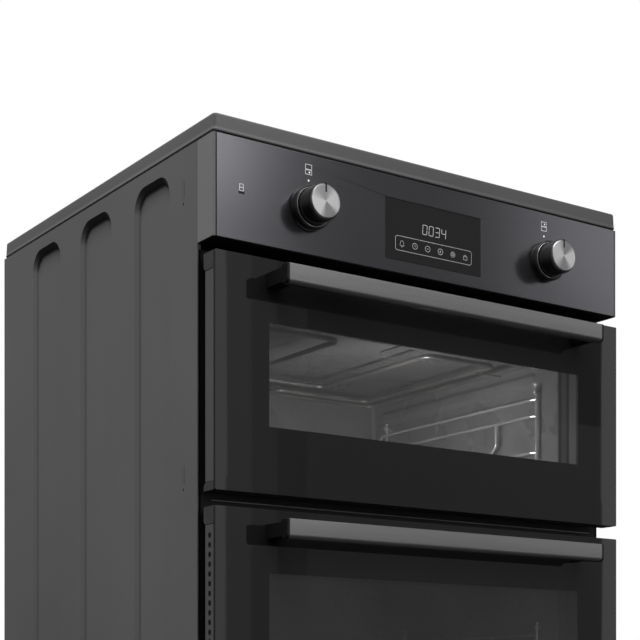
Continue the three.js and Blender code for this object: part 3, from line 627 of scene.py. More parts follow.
floorShape = bmesh.new()
half = stage["floorSize"] / 2 / mm
addSheet(floorShape, [rectangle(-half, half, -half, half)], lambda x, s: place(x, s, -0.2))
floor = bpy.data.objects.new("floor", meshOf(floorShape, "floor", []))
collection.objects.link(floor)
for polygon in floor.data.polygons:
    if polygon.normal.z < 0:
        floor.data.flip_normals()
floorFinish = Finish("floorFinish", Roughness=0.8)
floorTone = floorFinish.noise(1.5, 2.0)
floorFinish.colour(floorFinish.ramp(floorTone, (0.3, (0.76,) * 3), (0.7, (0.8,) * 3)))
floor.data.materials.append(floorFinish.material)
floor.visible_diffuse = False
floor.visible_glossy = False

world = bpy.data.worlds.new("studio")
bpy.context.scene.world = world
world.use_nodes = True
sky = Graph(world.node_tree)
sky.tree.nodes.clear()
skyPoint = sky.node("ShaderNodeTexCoord").output("Generated")
height = sky.node("ShaderNodeSeparateXYZ", None, {0: skyPoint}).output("Z")
fill = sky.node("ShaderNodeMapRange", None,
                {"Value": height, "From Min": -0.1, "From Max": 0.25,
                 "To Min": stage["lower"], "To Max": stage["upper"]})
seen = sky.node("ShaderNodeLightPath").output("Is Camera Ray")
level = seen * stage["white"] + (1.0 - seen) * fill
backdrop = sky.node("ShaderNodeBackground", None, {"Color": (1.0, 1.0, 1.0, 1.0), "Strength": level})
sky.node("ShaderNodeOutputWorld", None, {0: backdrop})


def softbox(name, centre, size, target, radiance):
    # a rectangular card that faces its target; radiance is what a mirror would show
    lamp = bpy.data.lights.new(name, "AREA")
    lamp.shape = "RECTANGLE"
    lamp.size, lamp.size_y = size
    lamp.energy = radiance * math.pi * size[0] * size[1]
    card = bpy.data.objects.new(name, lamp)
    collection.objects.link(card)
    card.location = centre
    card.rotation_euler = (Vector(target) - Vector(centre)).to_track_quat("-Z", "Y").to_euler()
    card.visible_camera = False
    return card


cardY = front - 3.0
# name: (left edge, right edge, low, high, radiance) of the cards that stand across from the doors
cards = {"left": (0.0, 1.4, 0.0, 3.5, 0.75), "fadeNear": (1.4, 1.5, 0.0, 3.5, 0.28),
         "fadeMiddle": (1.5, 1.6, 0.0, 3.5, 0.17), "fadeFar": (1.6, 1.72, 0.0, 3.5, 0.08),
         "high": (0.1, 1.5, 1.95, 3.6, 1.6), "between": (2.75, 3.1, 1.8, 2.5, 0.7),
         "right": (3.1, 4.4, 0.0, 3.5, 0.8),
         "low": (1.72, 3.1, 0.0, 1.35, 0.14)}
for cardName, (x0, x1, low, high, radiance) in cards.items():
    middle = ((x0 + x1) / 2, cardY, (low + high) / 2)
    softbox(f"card_{cardName}", middle, (x1 - x0, high - low), (middle[0], 0.0, middle[2]), radiance)
# name: (centre, size, target, radiance, shows in reflections)
softboxes = {"sideHigh": ((-2.9, 0.3, 7.5), (4.0, 3.0), (-0.3, 0.0, 0.6), 40.0, False),
             "frontHigh": ((0.2, -1.6, 3.6), (3.0, 1.5), (0.0, -0.27, 0.7), 2.0, True),
             "frontWide": ((0.0, -3.4, 1.8), (4.0, 3.0), (0.0, -0.27, 0.7), 1.4, False)}
for boxName, (centre, size, target, radiance, mirrored) in softboxes.items():
    softbox(boxName, centre, size, target, radiance).visible_glossy = mirrored

lens = bpy.data.cameras.new("camera")
lens.lens = 86.34
lens.sensor_width = 36.0
lens.shift_x = -0.1406
lens.shift_y = 0.5977
camera = bpy.data.objects.new("camera", lens)
collection.objects.link(camera)
camera.location = (-1.110, front - 1.468, 0.2585)
camera.rotation_euler = (math.radians(90), 0.0, math.radians(-36.19))
bpy.context.scene.camera = camera
bpy.context.scene.view_settings.view_transform = "Standard"
print("stage ready")


# Side panels: pressed channels with soft shoulders, a turned-in front edge, a clip slot

# section: (distance in from the edge, depth)
channel = {"count": 3, "width": 91.0, "land": 64.5, "radius": 27.0, "drop": 16.0, "foot": 65.0,
           "ends": 102.4, "roll": 1.2, "fold": 12.0, "clips": (0.0, 320.0, 640.0),
           "section": ((0.0, 0.0), (0.25, 0.05), (0.6, 0.3), (5.6, 3.2), (6.0, 3.6), (7.0, 5.2), (7.4, 5.5),
                       (8.0, 5.6))}


def sidePanel(side, node):
    x0, x1, s0, s1, z0, z1 = limits(node)
    outer = x1 if side > 0 else x0
    c = channel
    pitch = (s1 - s0 - c["ends"]) / c["count"]
    top, bottom = z1 - c["drop"], z0 + c["foot"]
    shape = bmesh.new()

    def at(depth):
        return lambda s, z: place(outer - side * depth, s, z)

    holes = []
    for i in range(c["count"]):
        middle = (s0 + c["land"] + c["width"] / 2 + i * pitch, (top + bottom) / 2)
        rings = []
        for inset, depth in c["section"]:
            outline = roundedOutline(c["width"] - 2 * inset, top - bottom - 2 * inset,
                                     c["radius"] - inset, 8, middle)
            rings.append([at(depth)(*point) for point in outline])
        rows = addRings(shape, rings, capped=False)
        shape.faces.new(rows[-1])
        holes.append(roundedOutline(c["width"], top - bottom, c["radius"], 8, middle))
    slot = roundedOutline(2.0, 3.6, 0.9, 3, (s0 + 31.5, z1 - 62.0))
    for drop in c["clips"]:
        holes.append([(u, v - drop) for u, v in slot])
    near = s0 + c["roll"]
    addSheet(shape, [rectangle(near, s1, z0, z1)] + holes, at(0.0))
    # front edge rolled in, and a low rib over each slot
    roll = [(0.0, c["roll"]), (0.12, 0.7), (0.45, 0.28), (0.9, 0.08), (1.4, 0.0), (4.6, 0.0)]
    edge = [[at(depth)(s0 + back, z) for z in (z0, z1)] for depth, back in roll]
    addRings(shape, edge, closed=False, capped=False)
    # top edge folded in under the hob
    fold = [[at(0.0)(near, z1), at(0.0)(s1, z1)], [at(c["fold"])(s, z1) for s in (s0 + 14.0, s1 - 14.0)]]
    addRings(shape, fold, closed=False, capped=False)
    bmesh.ops.remove_doubles(shape, verts=shape.verts[:], dist=2e-6)
    mesh = meshOf(shape, node, [sidePaint], (side, 0, 0), lambda face: face.calc_area())
    label = "right" if side > 0 else "left"
    makePiece(f"side_skin_{label}", mesh, [sidePaint], "cabinet", [node], solid=0.9)
    ribs = bmesh.new()
    for drop in c["clips"]:
        for offset in (29.0, 33.2):
            rings = []
            for z, half in ((-57.0, 0.05), (-55.0, 0.5), (-36.0, 0.5), (-34.0, 0.05)):
                s = s0 + offset
                rings.append([at(d)(s + e, z1 + z - drop) for d, e in
                              ((0.25, -half), (0.0, -half * 0.5), (0.0, half * 0.5), (0.25, half))])
            addRings(ribs, rings)
    makePiece(f"side_ribs_{label}", ribs, [sidePaint], "cabinet")


sidePanel(-1, "side_panel_left")
sidePanel(1, "side_panel_right")
print("side panels ready")


# Hob: a drafted surround with a beaded foot and a rounded brow, and the glass

# zones: (x, s, radius)
hob = {"corner": 5.0, "zones": ((-145, 165, 90), (145, 165, 72), (-145, 430, 72), (145, 430, 90))}


def hobPieces():
    x0, x1, s0, s1, z0, z1 = limits("hob_frame")
    width, depth = x1 - x0, s1 - s0
    tall = z1 - z0
    middle = ((x0 + x1) / 2, (s0 + s1) / 2)
    # (inset, height above the foot) down the outside, over the brow and back underneath
    section = [(9.0, 0.0), (1.1, 0.0), (0.35, 0.3), (0.0, 1.0), (0.0, 2.2), (0.2, 2.7), (0.4, 3.0),
               (0.5, 6.0), (1.0, 17.0), (1.1, 18.2), (1.45, 19.1), (2.0, 19.7), (3.0, tall),
               (12.2, tall), (12.8, 19.75), (13.0, 19.2), (13.0, 15.3), (24.0, 15.3), (24.0, 13.9),
               (12.0, 13.9), (9.4, 9.0)]
    shape = bmesh.new()
    rings = []
    for inset, rise in section + section[:1]:
        radius = max(hob["corner"] - inset * 0.5, 1.5)
        outline = roundedOutline(width - 2 * inset, depth - 2 * inset, radius, 7, middle)
        rings.append([place(x, s, z0 + rise) for x, s in outline])
    addRings(shape, rings, capped=False)
    bmesh.ops.remove_doubles(shape, verts=shape.verts[:], dist=1e-6)
    makePiece("hob_surround", shape, [hobPaint], "cabinet", ["hob_frame"], sharp=50)
    x0, x1, s0, s1, z0, z1 = limits("hob_glass")
    outline = roundedBox(x0, x1, s0, s1, 1.5, 5)
    ceramic = hobCeramic("hobCeramic", hob["zones"])
    makePiece("hob_plate", newPlate([outline], place, z0, z1), [ceramic], "cabinet",
              ["hob_glass"], bevel=(0.9, 3))


hobPieces()
print("hob ready")


# Fascia: side returns with rolled fronts, a rolled front panel, prints and the clock

fascia = {"roll": 3.0, "lip": 3.6, "knobX": 177.0, "shaft": 5.0}
knobZ = sum(limits("knob_left")[4:]) / 2


def fasciaPieces():
    x0, x1, s0, s1, z0, z1 = limits("fascia_housing")
    p = limits("fascia_panel")
    r = fascia["roll"]
    # plan of the channel that the panel sits in
    plan = []
    for side in (-1, 1):
        rim = [(side * x1, s1)]
        rim += [(side * u, s) for u, s in arcPoints(x1 - r, s0 + r, r, 0, -90, 8)]
        rim.append((side * (x1 - fascia["lip"]), s0 + 2.4))
        plan += rim if side < 0 else rim[::-1]
    inner = [(x1 - 2.4, s1), (x1 - 2.4, 4.8), (-x1 + 2.4, 4.8), (-x1 + 2.4, s1)]
    shape = bmesh.new()
    addPlate(shape, [plan + inner], place, z0, z1)
    for low, high in ((z0 + 0.3, z0 + 1.5), (z1 - 1.5, z1 - 0.3)):
        addBlock(shape, -x1 + 2.8, x1 - 2.8, 5.2, s1, low, high)
    makePiece("fascia_shell", shape, [fasciaSidePaint], "cabinet", ["fascia_housing"],
              bevel=(0.35, 2), sharp=45)
    # a black sheet on the underside seen over the grill door: painted shade where the fascia faces down
    under = newPlate([rectangle(-x1 + 1.2, x1 - 1.2, z0 - 0.5, z0 - 0.05)], frontal, 3.0, s1 - 1.0)
    makePiece("fascia_underside", under, [deepBlack], "cabinet", bevel=(0.15, 1))
    d = limits("display_glass")
    edge = p[1] - 0.35
    holes = [circleOutline(fascia["shaft"], 24, (x, knobZ)) for x in (-fascia["knobX"], fascia["knobX"])]
    window = roundedOutline(d[1] - d[0] + 0.7, d[5] - d[4] + 0.7, 0.8, 3, (0, (d[4] + d[5]) / 2))
    panel = newPlate([rectangle(-edge, edge, z0, z1), window] + holes, frontal, p[2], p[3] + 0.2)
    makePiece("fascia_front", panel, [fasciaPaint], "cabinet", ["fascia_panel"],
              bevel=(0.55, 3), sharp=50)
    outline = roundedBox(d[0], d[1], d[4], d[5], 0.6, 3)
    glass = newPlate([outline], frontal, d[2] + 0.15, d[3])
    makePiece("clock_glass", glass, [clockGlass], "cabinet", ["display_glass"],
              bevel=(0.25, 2))


fasciaPieces()


# Prints: flat strokes on the fascia and the clock

# fascia, clock and digits are stroke widths; ovens holds the x of the icons; mark is x0, x1 and its rise
ink = {"flat": 0.12, "fascia": 0.42, "clock": 0.45, "digits": 0.75, "iconPitch": 19.0, "iconScale": 1.25,
       "ovens": (-178.0, 174.0), "ovenRise": 44.4, "dotRise": 31.9, "dot": 1.15,
       "mark": (-267.4, -262.6, 3.4, 10.8), "gap": 0.05, "lean": 0.35, "digitPitch": 9.4}


def strokes(paths, level, finish, width):
    # each path is (points, closed) in x and z, drawn as wires that are pressed nearly flat
    meshes = []
    for points, closed in paths:
        corners = [(x, level, z) for x, z in points]
        meshes.append(bentWire(corners, width / 2, 0.0, finish, 6, 1, closed))
    printed = joinMeshes(meshes)
    base = front + level * mm
    for vert in printed.vertices:
        vert.co.y = base + (vert.co.y - base) * ink["flat"]
    return printed


def boxPath(x0, x1, z0, z1, radius=0.3):
    return roundedBox(x0, x1, z0, z1, radius, 3), True


def circlePath(x, z, radius, sides=24):
    return circleOutline(radius, sides, (x, z)), True


def digitPaths(digit, x, z, width, tall):
    # seven thin segments, outlined as on a clock
    spots = {"a": (0, 2, 1, 2), "b": (1, 1, 1, 2), "c": (1, 0, 1, 1), "d": (0, 0, 1, 0),
             "e": (0, 0, 0, 1), "f": (0, 1, 0, 2), "g": (0, 1, 1, 1)}
    lit = {"0": "abcdef", "3": "abcdg", "4": "bcfg"}[digit]
    paths = []
    for segment in lit:
        u0, v0, u1, v1 = spots[segment]
        gapU = ink["gap"] * (u1 - u0)
        gapV = ink["gap"] * (v1 - v0)
        ends = [(x + u * width + v * ink["lean"], z + v * tall / 2)
                for u, v in ((u0 + gapU, v0 + gapV), (u1 - gapU, v1 - gapV))]
        paths.append((ends, False))
    return paths


def ovenIcon(x, z, dotInLower):
    paths = [boxPath(x - 4.2, x + 4.2, z + 0.2, z + 5.6), boxPath(x - 4.2, x + 4.2, z - 5.6, z - 0.6)]
    dotZ = z - 3.1 if dotInLower else z + 2.9
    paths += [circlePath(x + 1.2, dotZ, 0.35, 8), circlePath(x + 1.2, dotZ, 0.8, 10)]
    return paths


def clockIcons(z):
    # bell, clock, minus, plus, cog, lock, each drawn about its own middle and then enlarged
    bell = [(-2.6, -2.0), (-2.0, -1.0), (-1.9, 0.6), (-1.2, 2.0), (0.0, 2.7), (1.2, 2.0), (1.9, 0.6),
            (2.0, -1.0), (2.6, -2.0)]
    cog = []
    for i in range(16):
        angle = i * math.pi / 8
        r = 2.8 if i % 2 else 2.2
        cog.append((r * math.cos(angle), r * math.sin(angle)))
    ring = circlePath(0.0, 0.0, 2.8)
    dash = ([(-1.2, 0.0), (1.2, 0.0)], False)
    icons = [[(bell, True), (arcPoints(0.0, -2.3, 0.9, 190, 350, 5), False)],
             [ring, ([(0.0, 1.6), (0.0, 0.0), (1.0, -0.7)], False)],
             [ring, dash],
             [ring, dash, ([(0.0, -1.2), (0.0, 1.2)], False)],
             [(cog, True), circlePath(0.0, 0.0, 1.0, 10)],
             [boxPath(-2.2, 2.2, -2.6, 0.5), (arcPoints(0.0, 0.5, 1.4, 0, 180, 8), False)]]
    paths = []
    for i, icon in enumerate(icons):
        middle = (i - 2.5) * ink["iconPitch"]
        for points, closed in icon:
            grown = [(middle + ink["iconScale"] * u, z + ink["iconScale"] * v) for u, v in points]
            paths.append((grown, closed))
    return paths


def prints():
    d = limits("display_glass")
    middle = (d[4] + d[5]) / 2
    left, right = ink["ovens"]
    paths = ovenIcon(left, knobZ + ink["ovenRise"], True) + ovenIcon(right, knobZ + ink["ovenRise"], False)
    x0, x1, low, high = ink["mark"]
    crossbar = [(x0, knobZ + (low + high) / 2), (x1, knobZ + (low + high) / 2)]
    paths += [boxPath(x0, x1, knobZ + low, knobZ + high, 0.4), (crossbar, False)]
    makePiece("fascia_prints", strokes(paths, 0.0, whiteInk, ink["fascia"]), [whiteInk], "cabinet")
    dots = bmesh.new()
    for x in ink["ovens"]:
        addPlate(dots, [circleOutline(ink["dot"], 14, (x, knobZ + ink["dotRise"]))], frontal, -0.06, 0.05)
    makePiece("fascia_dots", dots, [whiteInk], "cabinet")
    bar = newPlate([rectangle(x0 - 1.4, x1 + 1.4, knobZ, knobZ + 2.6)], frontal, -0.06, 0.05)
    makePiece("fascia_bar", bar, [deepBlack], "cabinet")
    level = d[2] + 0.15
    face = [boxPath(-57.0, 57.0, middle - 23.9, middle - 6.9, 3.0)] + clockIcons(middle - 15.4)
    makePiece("clock_prints", strokes(face, level, segmentWhite, ink["clock"]), [segmentWhite], "cabinet")
    digits = []
    for i, digit in enumerate("0034"):
        digits += digitPaths(digit, -17.2 + i * ink["digitPitch"], middle + 1.1, 6.2, 11.2)
    makePiece("clock_digits", strokes(digits, level, segmentWhite, ink["digits"]), [segmentWhite], "cabinet")


prints()
print("fascia ready")


# Knobs: black bezel with a bright rim line, gloss body, spun cap with a pointer

knob = {"sides": 72, "rings": 14, "slot": 9.4, "pointerHalf": 1.05, "capMargin": 1.2}


def knobPieces(label):
    x0, x1, s0, s1, z0, z1 = limits(f"knob_{label}")
    x, z = (x0 + x1) / 2, (z0 + z1) / 2
    b = limits(f"knob_bezel_{label}")
    radius = (b[1] - b[0]) / 2
    near, far = b[2:4]
    shape = bmesh.new()
    rounds = ((0.0, 1.5), (0.35, 0.6), (1.1, 0.0), (2.2, -0.02), (2.9, 0.35), (3.3, 1.2))
    profile = [(5.0, far), (radius - 0.3, far), (radius, far - 0.4)]
    profile += [(radius - inset, near + depth) for inset, depth in rounds]
    profile += [(5.0, near + 1.2), (5.0, far)]
    addLathe(shape, profile, knob["sides"], turnedY(x, z))
    makePiece(f"bezel_{label}", shape, [glossBlack], "cabinet", [f"knob_bezel_{label}"],
              sharp=50)
    rim = bmesh.new()
    line = ((3.4, 1.1), (2.75, 1.0), (2.68, 0.2), (3.0, -0.1), (3.35, 0.1), (3.4, 1.1))
    addLathe(rim, [(radius - inset, near + depth) for inset, depth in line], knob["sides"], turnedY(x, z))
    makePiece(f"bezel_line_{label}", rim, [wireChrome], "cabinet")
    # body and shaft
    r, face = (x1 - x0) / 2, s0
    body = bmesh.new()
    addLathe(body, [(0.0, s1), (3.0, s1), (3.0, near - 0.9), (r - 1.6, near - 0.9), (r - 0.5, near - 1.2),
                    (r, near - 2.2), (r, face + 5.2), (r - 0.15, face + 4.5), (r - 0.5, face + 4.0),
                    (r - 0.9, face + 3.9), (0.0, face + 3.9)], knob["sides"], turnedY(x, z), 0)
    cap = r - knob["capMargin"]
    turned = [(0.0, face + 3.9), (cap - 0.2, face + 3.9), (cap, face + 3.6), (cap, face + 1.5),
              (cap - 0.25, face + 1.0), (cap - 1.25, face + 0.05), (cap - 1.5, face)]
    for i in range(knob["rings"]):
        inner = (cap - 1.7) * (1 - (i + 1) / knob["rings"])
        turned.append((inner + 0.62, face + 0.06))
        turned.append((inner, face + (0.0 if i < knob["rings"] - 1 else 0.03)))
    addLathe(body, turned, knob["sides"], turnedY(x, z), 1)
    tip = z + r - 0.6
    half = knob["pointerHalf"]
    addBlock(body, x - half, x + half, face - 0.1, face + 2.6, tip - knob["slot"] - 0.9, tip, 2)
    makePiece(f"selector_{label}", body, [glossBlack, spunFace, deepBlack], f"knob_{label}",
              [f"knob_{label}"], sharp=55)


knobX = [sum(limits(f"knob_{label}")[:2]) / 2 for label in ("left", "right")]
spunFace = spunAluminiumPaintedSheen("spunFace", [(x, knobZ) for x in knobX])
knobPieces("left")
knobPieces("right")
print("knobs ready")


# Doors: printed glass with a clear window, a folded pan with end caps, and the handle

door = {"windowX": 230.5, "windowRise": 74.8, "windowDrop": 70.7, "corner": 1.5, "capTall": 20.0,
        "slots": 23, "slotPitch": 24.0, "vents": {"top": 0, "main": 32}, "vent": 3.1, "ventPitch": 10.6}
grip = {"radius": 5.0, "brow": 1.2, "grown": (1 / 6, 1 / 11)}


def doorPieces(name):
    body = f"{name}_door"
    x0, x1, s0, s1, z0, z1 = limits(f"{name}_door_glass")
    w = door["windowX"]
    low, high = z0 + door["windowRise"], z1 - door["windowDrop"]
    outer = roundedBox(x0, x1, z0, z1, door["corner"], 4)
    opening = roundedBox(-w, w, low, high, 0.6, 2)
    # the print runs from the glass edge to the window; the pane fills the window
    border = newPlate([outer, opening], frontal, s0, s1)
    makePiece(f"{name}_glass_print", border, [doorPrint], body, [f"{name}_door_glass"],
              bevel=(0.35, 2))
    pane = newPlate([[(u * 0.9998, v) for u, v in opening]], frontal, s0 + 0.02, s0 + 0.9)
    makePiece(f"{name}_glass_window", pane, [doorPane], body)
    panPieces(name, body)
    handlePieces(name, body)


def panPieces(name, body):
    x0, x1, s0, s1, z0, z1 = limits(f"{name}_door_frame")
    g = limits(f"{name}_door_glass")
    side = door["capTall"]
    window = door["windowX"] + 6.0
    low, high = g[4] + door["windowRise"] - 7.8, g[5] - door["windowDrop"] + 18.7
    shape = bmesh.new()
    # tray: rim and back, with the window opening and a tunnel round it
    foot, head, wall = z0 + side * 0.5, z1 - side, 1.2
    outline = rectangle(x0, x1, foot, head)
    inside = rectangle(x0 + wall, x1 - wall, foot + wall, head - wall)
    addPlate(shape, [outline, inside], frontal, s0, s1 - wall)
    hole = roundedBox(-window, window, low, high, 6.0, 4)
    addPlate(shape, [outline, hole], frontal, s1 - wall, s1)
    around = roundedOutline(2 * (window + wall), high - low + 2 * wall, 6.0 + wall, 4, (0, (low + high) / 2))
    addPlate(shape, [around, hole], frontal, s0 + 0.2, s1 - wall)
    makePiece(f"{name}_door_pan", shape, [panPaint], body, [f"{name}_door_frame"],
              bevel=(0.4, 2))
    # moulded strips at the top and foot of the pan, with sloped shoulders
    caps = bmesh.new()
    for edge, inward, tall in ((z1, -1, side), (z0, 1, side * 0.5)):
        section = [(s0, 0.3), (s0 + 0.8, 0.0), (s1 + 3.0, 0.0), (s1 + 3.8, 0.8), (s1 + 3.8, tall - 4.2),
                   (s1 + 0.4, tall - 0.3), (s0, tall - 0.3)]
        addRings(caps, [[place(x, s, edge + inward * v) for s, v in section] for x in (x0 - 0.1, x1 + 0.1)])
    makePiece(f"{name}_door_strips", caps, [stripPlastic], body, bevel=(0.5, 2))
    # slots along the top strip, and the round vents down both sides of the pan, drawn as black discs: painted
    # shade of the openings
    upward = lambda a, b, c: Vector((a, b, c)) * mm
    sideways = lambda a, b, c: Vector((c, a, b)) * mm
    slot = newPlate([roundedOutline(16.0, 3.2, 1.5, 4)], upward, -0.2, 0.12)
    first = -door["slotPitch"] * (door["slots"] - 1) / 2
    rows = [rowOf(slot, deepBlack, (first, s0 + 9.0, z1), door["slots"], (door["slotPitch"], 0, 0))]
    count = door["vents"][name]
    for sideX in (x0, x1) if count else ():
        vent = newPlate([circleOutline(door["vent"], 14)], sideways, -0.15, 0.15)
        rows.append(rowOf(vent, deepBlack, (sideX, s0 + 9.0, z0 + 24.0), count, (0, 0, door["ventPitch"])))
    makePiece(f"{name}_door_vents", joinMeshes(rows), [deepBlack], body)


def handlePieces(name, body):
    x0, x1, s0, s1, z0, z1 = limits(f"{name}_handle_bar")
    r, brow = grip["radius"], grip["brow"]
    section = [(s1, z1 - 0.6), (s1 - 0.6, z1)] + arcPoints(s0 + brow, z1 - brow, brow, 90, 180, 4)
    section += arcPoints(s0 + r, z0 + r, r, 180, 270, 8) + [(s1 - 0.6, z0), (s1, z0 + 0.6)]
    bar = bmesh.new()
    addRings(bar, [[place(x, s, z) for s, z in section] for x in (x0, x1)])
    makePiece(f"{name}_grip", bar, [handleSatin], body, [f"{name}_handle_bar"], sharp=30)
    middle = (s0 + s1) / 2, (z0 + z1) / 2
    for label, sign in (("left", -1), ("right", 1)):
        a = limits(f"{name}_handle_end_{label}")
        inner, outer = a[:2] if sign > 0 else a[1::-1]
        caps = bmesh.new()
        rings = []
        for x, shrink in ((sign * (x1 + 0.15), 0.0), (outer - sign * 0.8, 0.0), (outer - sign * 0.2, 0.25),
                          (outer, 0.8)):
            kept = [1 - shrink * share for share in grip["grown"]]
            rings.append([place(x, *(m + (v - m) * k for m, v, k in zip(middle, point, kept)))
                          for point in section])
        addRings(caps, rings)
        plan = [(inner, s1 + 0.35), (outer - sign * 0.4, s1 - 2.0), (outer - sign * 0.4, a[3]), (inner, a[3])]
        addPlate(caps, [plan], place, z0 + 3.0, z1 - 3.0)
        makePiece(f"{name}_grip_end_{label}", caps, [deepBlack], body,
                  [f"{name}_handle_end_{label}"], bevel=(0.5, 2))


def gapTrim():
    # bright rolled lip on the frame, seen in the gap between the doors
    low, high = limits("main_door_glass")[5], limits("top_door_glass")[4]
    face = limits("front_frame")[2]
    middle = low + 0.6 * (high - low)
    path = [(-284.0, face - 1.6, middle), (284.0, face - 1.6, middle)]
    makePiece("frame_lip", bentWire(path, 0.75, 0.0, hingeSteel, 10, 1), [hingeSteel], "cabinet")


doorPieces("top")
doorPieces("main")
gapTrim()
print("doors ready")


# Ovens: enamelled liner with round corners and pressed grooves, racks, shelf and grill

liner = {"corner": 12.0, "bead": 4.0, "beadHalf": 8.5, "beadNear": 50.0, "beadEnd": 30.0, "beadZone": 14.0,
         "beadLow": {"top": 157.0, "main": 250.0}, "depthSteps": 11, "inset": 12.0, "flange": 11.0}


def linerPiece(name):
    node = f"{name}_cavity"
    x0, x1, s0, s1, z0, z1 = limits(node)
    c = liner
    corner, zone = c["corner"], c["beadZone"]
    half = x1 - c["inset"]
    low, high, back = z0 + c["inset"], z1 - c["inset"], s1 - 1.2
    middle = (low + high) / 2
    beadZ = low + c["beadLow"][name]
    # right half from the floor's middle to the ceiling's middle, finer round the bead
    right = [(u, low) for u in (0.0, half * 0.5, half - corner - 6)]
    right += arcPoints(half - corner, low + corner, corner, -90, 0, 6)
    right += [(half, low + corner + (beadZ - 16 - low - corner) * t) for t in (0.35, 0.7)]
    right += [(half, beadZ - zone + 2 * zone * i / 18) for i in range(19)]
    right.append((half, beadZ + zone + (high - corner - beadZ - zone) * 0.5))
    right += arcPoints(half - corner, high - corner, corner, 0, 90, 6)
    right += [(u, high) for u in (half - corner - 6, half * 0.5, 0.0)]
    loop = right + [(-u, v) for u, v in right[-2:0:-1]]
    start, end = s0 + c["beadNear"], back - c["beadEnd"]
    steps = c["depthSteps"]
    depths = [s0, s0 + 1.2, s0 + 3.0, s0 + 6.0]
    depths += [start - zone + 2 * zone * i / 14 for i in range(15)]
    depths += [start + zone + (end - start - 2 * zone) * i / steps for i in range(1, steps)]
    depths += [end - zone + 2 * zone * i / 14 for i in range(15)]
    depths.append(back - 8.0)
    rings = []
    for s in depths:
        grow = 1 + 2.2 * max(0.0, 1 - (s - s0) / 3.0) ** 2 / half
        ring = []
        for u, v in loop:
            away = math.hypot(s - min(max(s, start), end), v - beadZ)
            t = min(max((away - 4.0) / (c["beadHalf"] - 1.0), 0.0), 1.0)
            push = c["bead"] * (1 - t * t * (3 - 2 * t)) if abs(u) > half - 0.01 else 0.0
            ring.append(place(u * grow - math.copysign(push, u), s, (v - middle) * grow + middle))
        rings.append(ring)
    for inset, s in arcPoints(8.0, back - 8.0, 8.0, 180, 90, 5)[1:]:
        shrink = 1 - 2 * inset / (high - low)
        rings.append([place(u * (1 - inset / half), s, (v - middle) * shrink + middle) for u, v in loop])
    shape = bmesh.new()
    rows = addRings(shape, rings, capped=False)
    shape.faces.new(rows[-1])
    # flange round the mouth
    wide, tall = 1 + c["flange"] / half, 1 + 2 * c["flange"] / (high - low)
    outer = [shape.verts.new(place(u * wide, s0, (v - middle) * tall + middle)) for u, v in loop]
    for i in range(len(outer)):
        shape.faces.new((outer[i - 1], outer[i], rows[0][i], rows[0][i - 1]))
    mesh = meshOf(shape, node, [cavityEnamel], (0, -1, 0), lambda face: face.calc_center_median().y)
    makePiece(f"{name}_liner", mesh, [cavityEnamel], "cabinet", [node], solid=0.9, sharp=60)


# rises: the rails' heights above the floor
rack = {"wire": 2.4, "bend": 9.0, "rises": {"top": (26, 59, 107, 129), "main": (26, 74, 122, 170, 218)}}


def rackPieces(name, label, sign):
    # a ladder of bent wires: rails that turn down to hangers, uprights, and studs on the wall
    x0, x1, s0, s1, z0, z1 = limits(f"{name}_rack_{label}")
    wall = x1 if sign > 0 else x0
    rises = rack["rises"][name]
    floorZ = z0 - 10.0
    railX, uprightX = wall - sign * 9.1, wall - sign * 5.6
    ends = (s0 + 12, s1 - 12)
    wires = []
    if name == "top":
        # two loops, each made of two rails
        for lower, upper in ((floorZ + rises[0], floorZ + rises[1]), (floorZ + rises[2], floorZ + rises[3])):
            wires.append([(uprightX, ends[0], lower), (railX, s0 + 20, lower), (railX, s1, lower),
                          (railX, s1, upper), (railX, s0 + 20, upper), (uprightX, ends[0], upper)])
    else:
        for z in (floorZ + rise for rise in rises):
            wires.append([(uprightX, ends[0], z), (railX, s0 + 20, z), (railX, s1 - 20, z),
                          (uprightX, ends[1], z)])
    meshes = [bentWire(wire, rack["wire"], rack["bend"], wireChrome) for wire in wires]
    for s in ends:
        upright = [(uprightX, s, z0 + 0.3), (uprightX, s, z1 - 0.3)]
        meshes.append(bentWire(upright, rack["wire"], 0.0, wireChrome))
    hanger = floorZ + rises[-2]
    drop = [(railX, s0 + 92, hanger), (railX, s0 + 92, hanger - 30), (railX, s0 + 112, hanger - 44),
            (railX, s0 + 112, floorZ + rises[1])]
    meshes.append(bentWire(drop, rack["wire"] * 0.9, 8.0, wireChrome))
    profile = [(0.0, 5.2), (2.6, 5.0), (3.6, 4.0), (3.6, 2.6), (2.2, 2.2)]
    profile = [(r, uprightX - sign * inward) for r, inward in profile]
    profile += [(2.2, wall - sign * 0.2), (0.0, wall - sign * 0.2)]
    for s in ends:
        for z in (z0 + 6, z1 - 8):
            stud = bmesh.new()
            addLathe(stud, profile, 16, lambda u, v, x: place(x, s + u, z + v))
            meshes.append(meshOf(stud, "stud", [wireChrome]))
    makePiece(f"{name}_side_rack_{label}", joinMeshes(meshes), [wireChrome], "cabinet",
              [f"{name}_rack_{label}"], sharp=60)


shelf = {"frame": 2.4, "bar": 1.7, "bars": 17, "bend": 7.0}


def shelfPiece(name):
    x0, x1, s0, s1, z0, z1 = limits(f"{name}_shelf")
    z = z0 + 2.5
    r = shelf["frame"]
    frameLoop = [(x0 + r, s0 + r, z), (x1 - r, s0 + r, z), (x1 - r, s1 - r, z), (x0 + r, s1 - r, z)]
    meshes = [bentWire(frameLoop, r, shelf["bend"], wireChrome, closed=True)]
    step = (x1 - x0) / (shelf["bars"] + 1)
    bar = bentWire([(0, s0 + r, 0), (0, s1 - r, 0)], shelf["bar"], 0.0, wireChrome, 8)
    bar.transform(Matrix.Translation((0, -front, 0)))
    meshes.append(rowOf(bar, wireChrome, (x0 + step, 0, z + 0.4), shelf["bars"], (step, 0, 0)))
    makePiece(f"{name}_wire_shelf", joinMeshes(meshes), [wireChrome], f"{name}_shelf",
              [f"{name}_shelf"], sharp=60)


